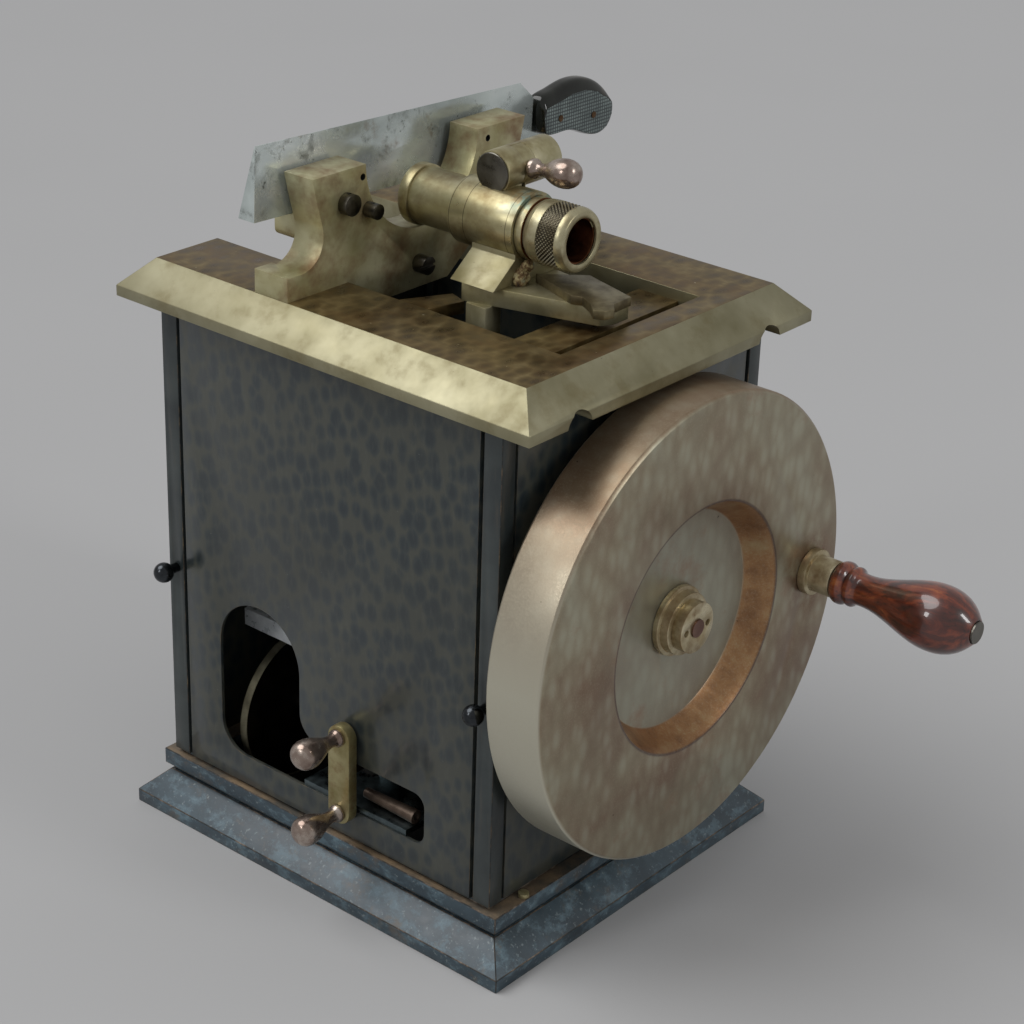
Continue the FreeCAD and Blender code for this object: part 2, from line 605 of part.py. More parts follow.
def turned(name, points, x, y, z):
    """A polygon of distance along X and radius, turned round X."""
    body = doc.addObject("PartDesign::Body", name)
    sketch = outline(body, name + "_profile", "XZ_Plane", points)
    spin = body.newObject("PartDesign::Revolution", name + "_turn")
    spin.Profile = sketch
    spin.ReferenceAxis = (sketch, ["H_Axis"])
    spin.Angle = FULL_TURN
    return put(body, x, y, z)


def chamfer_edges(body, name, feature, size, wanted):
    """Chamfers the edges of a feature whose middle fits."""
    doc.recompute()
    names = [
        f"Edge{i}"
        for i, edge in enumerate(feature.Shape.Edges, start=1)
        if wanted(edge.valueAt((edge.FirstParameter + edge.LastParameter) / 2))
    ]
    bevel = body.newObject("PartDesign::Chamfer", name)
    bevel.Base = (feature, names)
    bind(bevel, "Size", size)
    return bevel


def near(a, b):
    """Whether two lengths agree."""
    return abs(a - b) < s.fixed_gap.value


# Base: a bottom board, four mitred rails and a step moulding that carries the cabinet
inner_x = s.base_half_x - s.rail_width
inner_y = s.base_half_y - s.rail_width
node(
    box("base_board", -inner_x, inner_x, -inner_y, inner_y, ZERO, s.board_thick),
    "base_board",
)

RAILS = {
    "front": [(-s.base_half_x, -s.base_half_y), (s.base_half_x, -s.base_half_y),
              (inner_x, -inner_y), (-inner_x, -inner_y)],
    "rear": [(s.base_half_x, s.base_half_y), (-s.base_half_x, s.base_half_y),
             (-inner_x, inner_y), (inner_x, inner_y)],
    "left": [(-s.base_half_x, s.base_half_y), (-s.base_half_x, -s.base_half_y),
             (-inner_x, -inner_y), (-inner_x, inner_y)],
    "right": [(s.base_half_x, -s.base_half_y), (s.base_half_x, s.base_half_y),
              (inner_x, inner_y), (inner_x, -inner_y)],
}
for side, corners in RAILS.items():
    rail = slab("rail_" + side, "XY_Plane", corners, s.rail_height)
    outer_x = (corners[0][0].value + corners[1][0].value) / 2
    outer_y = (corners[0][1].value + corners[1][1].value) / 2
    chamfer_edges(
        rail, "rail_slope_" + side, rail.Tip, s.rail_chamfer,
        lambda p: near(p.z, s.rail_height.value) and near(p.x, outer_x) and near(p.y, outer_y),
    )
    node(rail, "base_rail_" + side)

sill_x = s.cabinet_half_x - s.sill_inset
sill_y = s.cabinet_half_y - s.sill_inset
step_solid = fuse("step_solid", [
    box("step_foot", -s.groove_half_x, s.groove_half_x, -s.groove_half_y, s.groove_half_y,
        s.rail_height, s.groove_top),
    box("step_body", -s.step_half_x, s.step_half_x, -s.step_half_y, s.step_half_y,
        s.groove_top, s.step_top),
    box("step_sill", -sill_x, sill_x, -sill_y, sill_y, s.step_top, s.cabinet_bottom),
])
well = box("step_well", -s.well_half_x, s.well_half_x, -s.well_half_y, s.well_half_y,
           ZERO, s.cabinet_bottom + s.rail_height)
node(cut("step", step_solid, [well]), "base_step")

base_screw_x = (s.cabinet_half_x + s.step_half_x) / 2
for side, sign in (("front", -1), ("rear", 1)):
    head = rod("base_screw_blank_" + side, "Z", base_screw_x, sign * s.base_screw_y,
               s.step_top, s.base_screw_r, s.base_screw_rise)
    groove_top = s.step_top + s.base_screw_rise
    groove = box(
        "base_screw_slot_" + side,
        base_screw_x - s.base_screw_r, base_screw_x + s.base_screw_r,
        sign * s.base_screw_y - s.slot_width / 4, sign * s.base_screw_y + s.slot_width / 4,
        groove_top - s.slot_depth / 2, groove_top + s.slot_depth,
    )
    node(cut("base_screw_cut_" + side, head, [groove]), "base_screw_" + side)

# Cabinet: four corner posts with grooved panels between them, and a brass plate on top
post_in_x = s.cabinet_half_x - s.post_x
post_in_y = s.cabinet_half_y - s.post_y
for name, sx, sy in (
    ("front_left", -1, -1), ("front_right", 1, -1), ("rear_left", -1, 1), ("rear_right", 1, 1),
):
    x0, x1 = (-s.cabinet_half_x, -post_in_x) if sx < 0 else (post_in_x, s.cabinet_half_x)
    y0, y1 = (-s.cabinet_half_y, -post_in_y) if sy < 0 else (post_in_y, s.cabinet_half_y)
    post = box("post_" + name, x0, x1, y0, y1, s.cabinet_bottom, s.plate_bottom)
    if sy < 0:
        hole = rod("post_hole_" + name, "Y", sx * s.knob_x, y0, s.knob_z,
                   s.knob_stem_r + s.run_gap, s.knob_stem)
        post = cut("post_drilled_" + name, post, [hole])
    node(post, "corner_post_" + name)


def panel_along_x(name, outer_y, inner_sign):
    """A panel between two posts that faces front or back, with a tongue at each side."""
    lap_y = outer_y + inner_sign * (s.panel_thick - s.panel_lap)
    back_y = outer_y + inner_sign * s.panel_thick
    face_x = post_in_x - s.panel_groove
    y_face = (outer_y, lap_y) if inner_sign > 0 else (lap_y, outer_y)
    y_back = (lap_y, back_y) if inner_sign > 0 else (back_y, lap_y)
    face = box(name + "_face", -face_x, face_x, *y_face, s.cabinet_bottom, s.plate_bottom)
    back = box(name + "_back", -post_in_x, post_in_x, *y_back, s.cabinet_bottom, s.plate_bottom)
    return fuse(name + "_board", [face, back])


def panel_along_y(name, outer_x, inner_sign):
    """A panel between two posts that faces left or right."""
    lap_x = outer_x + inner_sign * (s.panel_thick - s.panel_lap)
    back_x = outer_x + inner_sign * s.panel_thick
    face_y = post_in_y - s.panel_groove
    x_face = (outer_x, lap_x) if inner_sign > 0 else (lap_x, outer_x)
    x_back = (lap_x, back_x) if inner_sign > 0 else (back_x, lap_x)
    face = box(name + "_face", *x_face, -face_y, face_y, s.cabinet_bottom, s.plate_bottom)
    back = box(name + "_back", *x_back, -post_in_y, post_in_y, s.cabinet_bottom, s.plate_bottom)
    return fuse(name + "_board", [face, back])


# The front opening is a tall arch that runs into a low slot, like a boot
front_y = -s.cabinet_half_y
cut_y0 = front_y - s.panel_thick
cut_y1 = front_y + s.panel_thick * 2
cut_span = s.panel_thick * 3
arch_r = (s.cut_left - s.cut_right) / 2
arch_x = -(s.cut_left + s.cut_right) / 2
corner_x = s.cut_corner - s.cut_left
corner_z = s.cut_bottom + s.cut_corner
slot_x = s.slot_end - s.slot_corner
inner_block = box("boot_inner_block", -s.cut_right, s.cut_inner - s.cut_right, cut_y0, cut_y1,
                  s.slot_top, s.slot_top + s.cut_inner)
inner_round = rod("boot_inner_round", "Y", s.cut_inner - s.cut_right, cut_y0,
                  s.slot_top + s.cut_inner, s.cut_inner, cut_span)
boot = [
    rod("boot_arch", "Y", arch_x, cut_y0, s.cut_shoulder, arch_r, cut_span),
    box("boot_leg", -s.cut_left, -s.cut_right, cut_y0, cut_y1, corner_z, s.cut_shoulder),
    box("boot_sole", corner_x, slot_x, cut_y0, cut_y1, s.cut_bottom, corner_z),
    rod("boot_heel", "Y", corner_x, cut_y0, corner_z, s.cut_corner, cut_span),
    box("boot_foot", -s.cut_right, slot_x, cut_y0, cut_y1, s.cut_bottom, s.slot_top),
    box("boot_toe", slot_x, s.slot_end, cut_y0, cut_y1, s.cut_bottom + s.slot_corner,
        s.slot_top - s.slot_corner),
    rod("boot_toe_low", "Y", slot_x, cut_y0, s.cut_bottom + s.slot_corner, s.slot_corner, cut_span),
    rod("boot_toe_high", "Y", slot_x, cut_y0, s.slot_top - s.slot_corner, s.slot_corner, cut_span),
    cut("boot_inner", inner_block, [inner_round]),
    box("boot_border", -s.cut_left - s.sheet_border, s.slot_end + s.sheet_border,
        front_y + s.sheet_thick, cut_y1, s.cut_bottom - s.sheet_border,
        s.cut_shoulder + arch_r + s.sheet_border),
]
node(cut("front_cut", panel_along_x("front", front_y, 1), boot), "front_panel")
node(panel_along_x("rear", s.cabinet_half_y, -1), "rear_panel")
side_x = s.cabinet_half_x - s.panel_recess
side_in_x = side_x - s.panel_thick
shaft_hole = rod("side_hole", "X", side_in_x - s.panel_thick, ZERO, s.axle_z,
                 s.bearing_r + s.fixed_gap, s.panel_thick * 3)
node(cut("drive_side_cut", panel_along_y("drive_side", side_x, -1), [shaft_hole]),
     "side_panel_drive")
node(panel_along_y("plain_side", -side_x, 1), "side_panel_plain")

# Ball knobs on the front posts
for side, sign in (("left", -1), ("right", 1)):
    ball_y = front_y - s.knob_reach
    knob = fuse("knob_" + side, [
        ball("knob_ball_" + side, sign * s.knob_x, ball_y, s.knob_z, s.knob_r),
        rod("knob_neck_" + side, "Y", sign * s.knob_x, ball_y, s.knob_z, s.knob_neck_r,
            s.knob_reach - s.face_gap / 3),
        rod("knob_stem_" + side, "Y", sign * s.knob_x, ball_y, s.knob_z, s.knob_stem_r,
            s.knob_reach + s.knob_stem - s.face_gap),
    ])
    node(knob, "panel_knob_" + side)

# Top plate with a bevelled edge, an opening towards -X and two notches under the lip
plate = slab("plate", "XY_Plane", [
    (-s.plate_half_x, -s.plate_half_y), (s.plate_half_x, -s.plate_half_y),
    (s.plate_half_x, s.plate_half_y), (-s.plate_half_x, s.plate_half_y),
], s.plate_top - s.plate_bottom)
rise = (s.plate_top - s.plate_bottom).value
chamfer_edges(plate, "plate_slope", plate.Tip, s.plate_bevel, lambda p: near(p.z, rise))
put(plate, ZERO, ZERO, s.plate_bottom)
mouth = box("plate_mouth", -s.plate_half_x * 2, s.mouth_end, -s.mouth_half_y, s.mouth_half_y,
            s.plate_bottom - s.plate_bevel, s.plate_top + s.plate_bevel)
notches = [
    rod("plate_notch_" + side, "X", s.plate_half_x - s.notch_depth, sign * s.notch_y,
        s.plate_bottom - s.notch_drop, s.notch_r, s.notch_depth * 2)
    for side, sign in (("front", -1), ("rear", 1))
]
node(cut("plate_cut", plate, [mouth] + notches), "top_plate")
node(
    box("ledge", s.ledge_near, s.ledge_far, -s.mouth_half_y, s.mouth_half_y,
        s.ledge_top - s.ledge_thick, s.ledge_top),
    "ledge_straight",
)
oblique = slab("oblique", "XY_Plane", [
    (s.oblique_x1, -s.mouth_half_y), (s.oblique_x4, -s.mouth_half_y),
    (s.oblique_x4, -s.oblique_y4), (s.oblique_x3, -s.oblique_y3),
    (s.oblique_x2, -s.oblique_y2), (s.oblique_x1, -s.oblique_y1),
], s.ledge_thick)
node(put(oblique, ZERO, ZERO, s.ledge_top - s.ledge_thick), "ledge_slanted")

# Knife stand: two posts with a round saddle between them, feet on the plate and a tongue
tongue_y = s.mouth_half_y - s.tongue_gap
right_flank = [
    (s.foot_half_y, s.plate_top), (s.foot_half_y, s.plate_top + s.foot_rise),
    (s.foot_inner_y, s.plate_top + s.foot_rise), (s.flank_y1, s.flank_z1),
    (s.flank_y2, s.flank_z2), (s.flank_y3, s.flank_z3), (s.flank_y4, s.flank_z4),
    (s.flank_y5, s.flank_z5), (s.post_top_y, s.stand_top),
]
left_flank = [(-y, z) for y, z in reversed(right_flank)]
tongue = [
    (-tongue_y, s.plate_top), (-tongue_y, s.tongue_bottom), (s.tongue_end, s.tongue_bottom),
    (s.tongue_y1, s.tongue_z1), (s.tongue_y2, s.plate_top),
]
stand_back_x = -s.stand_front - s.stand_thick
stand = slab("stand", "YZ_Plane", right_flank + left_flank + tongue, s.stand_thick)
put(stand, stand_back_x, ZERO, ZERO)
saddle = rod("stand_saddle", "X", stand_back_x - s.stand_thick, ZERO, s.stand_top, s.saddle_r,
             s.stand_thick * 3)
feet = [
    box("stand_foot_" + side, -s.stand_front - s.foot_reach, -s.stand_front, y0, y1,
        s.plate_top, s.plate_top + s.foot_rise)
    for side, y0, y1 in (
        ("front", -s.foot_half_y, -s.foot_inner_y), ("rear", s.foot_inner_y, s.foot_half_y),
    )
]
# The knife rests slope with the knife back
rests = []
for side, y0, y1 in (
    ("front", -s.rest_half_y, s.rest_width - s.rest_half_y),
    ("rear", s.rest_half_y - s.rest_width, s.rest_half_y),
):
    block = box("stand_rest_" + side, stand_back_x - s.rest_reach, stand_back_x, y0, y1,
                s.rest_bottom, s.knife_base_z)
    rests.append(block)
seat = doc.addObject("Part::Box", "knife_seat")
bind(seat, "Length", s.knife_length)
bind(seat, "Width", s.knife_length * 2)
bind(seat, "Height", s.knife_height)
put(seat, -s.knife_front - s.knife_length, -s.knife_left, s.knife_base_z - s.face_gap,
    Rotation(Vector(-1, 0, 0), s.knife_tilt.value))
bind(seat, "Placement.Rotation.Angle", s.knife_tilt)
rest_pair = cut("stand_rests", fuse("stand_rest_blocks", rests), [seat])
screw_holes = [
    rod("stand_hole_" + name, "X", stand_back_x - s.stand_thick, y, z,
        s.screw_shank_r + s.run_gap, s.stand_thick * 3)
    for name, y, z in (
        ("large", s.large_screw_y, s.large_screw_z), ("small", s.small_screw_y, s.small_screw_z),
    )
]
screw_holes.append(
    rod("stand_hole_foot", "X", -s.stand_front - s.stand_screw_shank - s.face_gap,
        s.stand_screw_y, s.stand_screw_z, s.screw_shank_r + s.run_gap, s.stand_thick * 2)
)
stand_solid = fuse("stand_solid", [stand] + feet + [rest_pair])
node(cut("stand_cut", stand_solid, [saddle] + screw_holes), "knife_stand")


def headed_screw(name, y, z, radius, head, shank):
    """A screw along X: the head stands in front of the stand, the shank goes into it."""
    return fuse(name + "_blank", [
        rod(name + "_head", "X", s.face_gap / 3 - s.stand_front, y, z, radius, head),
        rod(name + "_shank", "X", -s.stand_front - shank, y, z, s.screw_shank_r,
            shank + head / 2),
    ])


foot_screw = headed_screw("foot_screw", s.stand_screw_y, s.stand_screw_z, s.stand_screw_r,
                          s.stand_screw_head, s.stand_screw_shank)
foot_end = s.stand_screw_head + s.face_gap / 3 - s.stand_front
foot_slot = box("foot_screw_slot", foot_end - s.slot_depth, foot_end + s.slot_depth,
                s.stand_screw_y - s.stand_screw_r * 2, s.stand_screw_y + s.stand_screw_r * 2,
                s.stand_screw_z - s.slot_width / 2, s.stand_screw_z + s.slot_width / 2)
node(cut("foot_screw_cut", foot_screw, [foot_slot]), "stand_screw")
knife_shank = s.knife_front - s.stand_front - s.face_gap
for name, y, z, radius, head in (
    ("large", s.large_screw_y, s.large_screw_z, s.large_screw_r, s.large_screw_head),
    ("small", s.small_screw_y, s.small_screw_z, s.small_screw_r, s.small_screw_head),
):
    screw = headed_screw("knife_" + name, y, z, radius, head, knife_shank)
    hole = rod("knife_hole_" + name, "Z", head / 2 - s.stand_front, y, z - radius * 2,
               s.cross_hole_r, radius * 4)
    node(cut("knife_screw_cut_" + name, screw, [hole]), "knife_screw_" + name)

# Knife: a straight wedge with its edge up, a tang and a hooked handle
tilt = Rotation(Vector(-1, 0, 0), s.knife_tilt.value)
wedge = slab("wedge", "XZ_Plane", [
    (-s.knife_back, ZERO), (ZERO, ZERO), (ZERO, s.knife_height),
    (-s.knife_edge, s.knife_height),
], s.knife_length)
wedge_turned = doc.addObject("Part::MultiFuse", "wedge_whole")
wedge.Placement = Placement(Vector(0, s.knife_length.value, 0), Rotation())
bind(wedge, "Placement.Base.y", s.knife_length)
tang = box("tang", (-s.knife_back - s.tang_thick) / 2, (s.tang_thick - s.knife_back) / 2,
           s.knife_length - s.tang_length, s.knife_length + s.tang_length,
           s.tang_rise, s.tang_rise + s.tang_height)
wedge_turned.Shapes = [wedge, tang]
wedge_turned.Refine = True
put(wedge_turned, -s.knife_front, -s.knife_left, s.knife_base_z, tilt)
bind(wedge_turned, "Placement.Rotation.Angle", s.knife_tilt)
nose = doc.addObject("Part::Box", "knife_nose")
for side in ("Length", "Width", "Height"):
    bind(nose, side, s.knife_height)
put(nose, -s.knife_front - s.knife_height / 2, s.nose_y, s.nose_z,
    Rotation(Vector(-1, 0, 0), s.nose_angle.value))
bind(nose, "Placement.Rotation.Angle", s.nose_angle)
node(cut("knife_cut", wedge_turned, [nose]), "knife_blade")

handle_points = [
    (s.handle_start, s.handle_low), (s.hook_y3, s.handle_low), (s.hook_y2, s.hook_z2),
    (s.hook_y, s.hook_z), (s.butt_y3, s.butt_z3), (s.butt_y1, s.butt_z2),
    (s.butt_y1, s.butt_z1), (s.crown_y4, s.crown_z4), (s.crown_y3, s.crown_z3),
    (s.crown_y2, s.crown_z2), (s.crown_y1, s.crown_z1), (s.handle_start, s.handle_high),
]
handle_back_x = -s.handle_front - s.handle_thick
handle = put(slab("handle", "YZ_Plane", handle_points, s.handle_thick),
             handle_back_x, ZERO, ZERO)
tang_room = doc.addObject("Part::Box", "tang_room")
bind(tang_room, "Length", s.tang_thick + s.fixed_gap * 2)
bind(tang_room, "Width", s.tang_length * 2 + s.fixed_gap)
bind(tang_room, "Height", s.tang_height + s.fixed_gap * 2)
tang_shell = doc.addObject("Part::MultiFuse", "tang_shell")
blade_room = box("blade_room", -s.knife_back - s.fixed_gap, s.fixed_gap, ZERO,
                 s.knife_length + s.fixed_gap, -s.fixed_gap, s.knife_height)
put(tang_room, (-s.knife_back - s.tang_thick) / 2 - s.fixed_gap,
    s.knife_length - s.tang_length, s.tang_rise - s.fixed_gap)
tang_shell.Shapes = [blade_room, tang_room]
put(tang_shell, -s.knife_front, -s.knife_left, s.knife_base_z, tilt)
bind(tang_shell, "Placement.Rotation.Angle", s.knife_tilt)
pins = []
for number, y, z in ((1, s.pin_y1, s.pin_z1), (2, s.pin_y2, s.pin_z2)):
    pins.append(rod(f"pin_hole_{number}", "X", handle_back_x - s.handle_thick, y, z,
                    s.pin_r + s.fixed_gap, s.handle_thick * 3))
    node(rod(f"pin_{number}", "X", -s.handle_front - s.handle_thick / 4, y, z, s.pin_r,
             s.handle_thick / 4 + s.pin_proud), f"knife_pin_{number}")
node(cut("handle_cut", handle, [tang_shell] + pins), "knife_handle")

# Holder head: a tube with its specimen bore, clamped in a split body
ring_end = s.ring_front + s.ring_length
body_end = s.body_front + s.body_length
collar_end = body_end + s.collar_length
nut_end = collar_end + s.nut_length
node(
    turned("tube", [
        (ring_end, s.bore_r), (ring_end, s.tube_r), (body_end + s.face_gap, s.tube_r),
        (body_end + s.face_gap, s.collar_r), (collar_end, s.collar_r),
        (collar_end, s.thread_r), (nut_end - s.nut_chamfer, s.thread_r),
        (nut_end - s.nut_chamfer, s.bore_r),
    ], ZERO, ZERO, s.head_z),
    "object_tube",
)
node(
    turned("ring", [
        (s.ring_front, s.bore_r), (s.ring_front, s.ring_r), (ring_end, s.ring_r),
        (ring_end, s.bore_r),
    ], ZERO, ZERO, s.head_z),
    "tube_ring",
)
nut_start = collar_end + s.face_gap / 3
node(
    turned("nut", [
        (nut_start, s.thread_r + s.run_gap), (nut_start, s.nut_r - s.nut_chamfer),
        (nut_start + s.nut_chamfer, s.nut_r), (nut_end - s.nut_chamfer, s.nut_r),
        (nut_end, s.nut_r - s.nut_chamfer), (nut_end, s.thread_r + s.run_gap),
    ], ZERO, ZERO, s.head_z),
    "knurled_nut",
)
cross_end = s.cross_front + s.cross_length
clamp_solid = fuse("clamp_solid", [
    rod("clamp_barrel", "X", s.body_front, ZERO, s.head_z, s.body_r, s.body_length),
    rod("clamp_cross", "Y", s.cross_x, s.cross_front, s.cross_z, s.cross_r, s.cross_length),
    box("clamp_web", s.cross_x - s.web_half, s.cross_x + s.web_half, s.cross_front / 2, s.web_half,
        s.head_z, s.cross_z),
])
clamp_bore = rod("clamp_bore", "X", s.body_front - s.body_r, ZERO, s.head_z,
                 s.tube_r + s.run_gap, s.body_length + s.body_r * 2)
cross_bore = rod("cross_bore", "Y", s.cross_x, s.cross_front - s.cross_r, s.cross_z,
                 s.bolt_r + s.run_gap, s.cross_length + s.cross_r * 2)
lever_window = box("lever_window", s.cross_x, s.cross_x + s.cross_r * 2,
                   s.lever_y - s.lever_slot / 2, s.lever_y + s.lever_slot / 2,
                   s.cross_z - s.lever_slot_down, s.cross_z + s.lever_slot_up)
web_split = box("web_split", s.cross_x - s.cross_r * 2, s.cross_x + s.cross_r * 2,
                s.web_slot_y - s.web_slot / 2, s.web_slot_y + s.web_slot / 2,
                s.head_z, s.cross_z)
clamp = cut("clamp_cut", clamp_solid, [clamp_bore, cross_bore, lever_window, web_split])
node(clamp, "clamp_body")
bolt_front = s.cross_front + s.bolt_sink
node(
    rod("bolt", "Y", s.cross_x, bolt_front, s.cross_z, s.bolt_r, cross_end - bolt_front - s.bolt_sink),
    "clamp_bolt",
)
lever = fuse("lever", [
    rod("lever_hub_blank", "X", s.bolt_r, ZERO, ZERO, s.lever_hub_r, s.lever_hub - s.bolt_r),
    rod("lever_stem", "X", s.bolt_r, ZERO, ZERO, s.lever_r, s.lever_length - s.bolt_r),
    ball("lever_ball", s.lever_length, ZERO, ZERO, s.lever_ball_r),
])
bolt_room = rod("lever_seat", "Y", ZERO, -s.lever_hub_r * 2, ZERO, s.bolt_r + s.fixed_gap,
                s.lever_hub_r * 4)
lever_cut = cut("lever_cut", lever, [bolt_room])
put(lever_cut, s.cross_x, s.lever_y, s.cross_z, Rotation(Vector(0, -1, 0), s.lever_angle.value))
bind(lever_cut, "Placement.Rotation.Angle", s.lever_angle)
node(lever_cut, "clamp_lever")

# Bracket: a cradle block, an arm with a pointer plate and a leg down through the opening
arm = slab("arm", "XY_Plane", [
    (s.arm_x1, -s.arm_y1), (s.arm_x2, -s.arm_y2), (s.arm_x3, -s.arm_y3),
    (s.arm_x3, s.arm_y4), (s.arm_x5, s.arm_y5), (s.arm_x1, s.block_half_y),
], s.arm_top - s.arm_bottom)
put(arm, ZERO, ZERO, s.arm_bottom)
leg = box("leg", s.leg_front_x, s.leg_back_x, -s.arm_y1, s.leg_thick - s.arm_y1,
          s.carriage_top, s.arm_bottom)
cradle_blank = slab("cradle", "YZ_Plane", [
    (-s.arm_y1, s.arm_top), (s.block_half_y, s.arm_top), (s.block_half_y, s.facet_z),
    (s.facet_y, s.block_top), (-s.facet_y, s.block_top), (-s.facet_y, s.facet_z),
], s.block_back_x - s.block_front_x)
put(cradle_blank, s.block_front_x, ZERO, ZERO)
cradle_bore = rod("cradle_bore", "X", s.block_front_x - s.body_r, ZERO, s.head_z,
                  s.body_r + s.fixed_gap, s.body_length + s.body_r * 2)
node(cut("cradle_cut", cradle_blank, [cradle_bore]), "holder_block")
node(fuse("arm_leg", [arm, leg]), "holder_bracket")
pointer_points = [
    (getattr(s, f"pointer_{k}x"), getattr(s, f"pointer_{k}y")) for k in "abcdefghij"
]
pointer = slab("pointer", "XY_Plane", pointer_points, s.pointer_thick)
node(put(pointer, ZERO, ZERO, s.arm_top), "pointer_plate")

# Drive: flywheel, hub, shaft in its bearing, and a crank disc with a pin
bore = s.axle_r + s.fixed_gap
wheel = turned("wheel", [
    (s.wheel_back, bore), (s.wheel_back, s.wheel_r - s.wheel_edge),
    (s.wheel_back + s.wheel_edge, s.wheel_r), (s.wheel_face - s.wheel_edge, s.wheel_r),
    (s.wheel_face, s.wheel_r - s.wheel_edge), (s.wheel_face, s.dish_r),
    (s.dish_floor, s.dish_floor_r), (s.dish_floor, bore),
], ZERO, ZERO, s.axle_z)
spindle_start = s.wheel_face - s.spindle_sink
spindle_hole = rod("wheel_hole", "X", spindle_start, s.handle_y, s.handle_z,
                   s.spindle_r + s.fixed_gap, s.spindle_sink * 2)
node(cut("wheel_cut", wheel, [spindle_hole]), "flywheel")
flange_end = s.dish_floor + s.flange_thick
node(
    turned("hub", [
        (s.dish_floor, bore), (s.dish_floor, s.flange_r), (flange_end, s.flange_r),
        (flange_end, s.boss_r), (s.boss_face, s.boss_r), (s.boss_face, bore),
    ], ZERO, ZERO, s.axle_z),
    "hub_flange",
)
hub_nut_end = s.boss_face + s.hub_nut_thick
hub_nut = cut("hub_nut_cut", rod("hub_nut_blank", "X", s.boss_face, ZERO, s.axle_z, s.hub_nut_r,
                                 s.hub_nut_thick), [
    rod("hub_nut_bore", "X", s.boss_face - s.pip_r, ZERO, s.axle_z, s.pip_r + s.fixed_gap,
        s.hub_nut_thick + s.pip_r * 2),
    rod("hub_nut_pin_1", "X", hub_nut_end - s.hub_pin_depth, s.hub_pin_out, s.axle_z,
        s.hub_pin_r, s.hub_pin_depth * 2),
    rod("hub_nut_pin_2", "X", hub_nut_end - s.hub_pin_depth, -s.hub_pin_out, s.axle_z,
        s.hub_pin_r, s.hub_pin_depth * 2),
])
node(hub_nut, "hub_nut")
node(
    fuse("axle", [
        rod("axle_body", "X", s.disc_near, ZERO, s.axle_z, s.axle_r, s.boss_face - s.disc_near),
        rod("axle_pip", "X", s.disc_near, ZERO, s.axle_z, s.pip_r,
            hub_nut_end + s.pip_proud - s.disc_near),
    ]),
    "main_shaft",
)
bearing_in = side_in_x - s.bearing_flange
run_bore = s.axle_r + s.run_gap
node(
    turned("bearing", [
        (bearing_in, run_bore), (bearing_in, s.bearing_flange_r),
        (side_in_x, s.bearing_flange_r), (side_in_x, s.bearing_r),
        (s.bearing_out, s.bearing_r), (s.bearing_out, run_bore),
    ], ZERO, ZERO, s.axle_z),
    "main_bearing",
)
slide_far = s.slide_near + s.slide_thick
pin_z = s.axle_z - s.throw
crank_disc = fuse("disc_solid", [
    rod("disc_blank", "X", s.disc_near, ZERO, s.axle_z, s.disc_r, s.disc_thick),
    rod("disc_pin", "X", slide_far + s.pin_stop, ZERO, pin_z, s.crank_pin_r,
        s.disc_near - slide_far),
])
disc_bore = rod("disc_bore", "X", s.disc_near - s.axle_r, ZERO, s.axle_z, bore,
                s.disc_thick + s.axle_r * 2)
node(cut("disc_cut", crank_disc, [disc_bore]), "crank_disc")

# Flywheel handle: ferrule, spindle and a turning wooden grip
ferrule_solid = fuse("ferrule_solid", [
    rod("ferrule_ring_blank", "X", s.wheel_face, s.handle_y, s.handle_z, s.ferrule_r,
        s.ferrule_ring),
    rod("ferrule_neck", "X", s.wheel_face, s.handle_y, s.handle_z, s.ferrule_neck_r,
        s.ferrule_end - s.wheel_face),
])
ferrule_bore = rod("ferrule_bore", "X", spindle_start, s.handle_y, s.handle_z,
                   s.spindle_r + s.fixed_gap, s.ferrule_end - spindle_start + s.spindle_sink)
node(cut("ferrule_cut", ferrule_solid, [ferrule_bore]), "handle_ferrule")
spindle_head_x = s.spindle_end
node(
    fuse("spindle", [
        rod("spindle_body", "X", spindle_start, s.handle_y, s.handle_z, s.spindle_r,
            s.spindle_end - spindle_start + s.spindle_head / 2),
        rod("spindle_cap", "X", spindle_head_x, s.handle_y, s.handle_z, s.spindle_head_r,
            s.spindle_head),
    ]),
    "grip_spindle",
)
grip_start = s.ferrule_end + s.face_gap
bulb = doc.addObject("Part::Ellipsoid", "grip_bulb")
bind(bulb, "Radius1", s.grip_bulb_half)
bind(bulb, "Radius2", s.grip_bulb_r)
bind(bulb, "Radius3", s.grip_bulb_r)
put(bulb, s.grip_bulb_x, s.handle_y, s.handle_z, TURNS["X"])
grip_solid = fuse("grip_solid", [
    rod("grip_collar_blank", "X", grip_start, s.handle_y, s.handle_z, s.grip_collar_r,
        s.grip_collar),
    rod("grip_bead", "X", grip_start, s.handle_y, s.handle_z, s.grip_bead_r,
        s.grip_neck_x - grip_start),
    cone("grip_taper", "X", s.grip_neck_x, s.handle_y, s.handle_z, s.grip_neck_r,
         s.grip_cone_r, s.grip_cone_x - s.grip_neck_x),
    bulb,
])
grip_bore = rod("grip_bore", "X", grip_start - s.grip_collar, s.handle_y, s.handle_z,
                s.spindle_r + s.run_gap, s.grip_bulb_half * 2 + s.grip_bulb_x - grip_start)
grip_face = s.spindle_end - s.face_gap
grip_end = box("grip_end", grip_face, grip_face + s.grip_bulb_half,
               s.handle_y - s.grip_bulb_half, s.handle_y + s.grip_bulb_half,
               s.handle_z - s.grip_bulb_half, s.handle_z + s.grip_bulb_half)
node(cut("grip_cut", grip_solid, [grip_bore, grip_end]), "wood_grip")

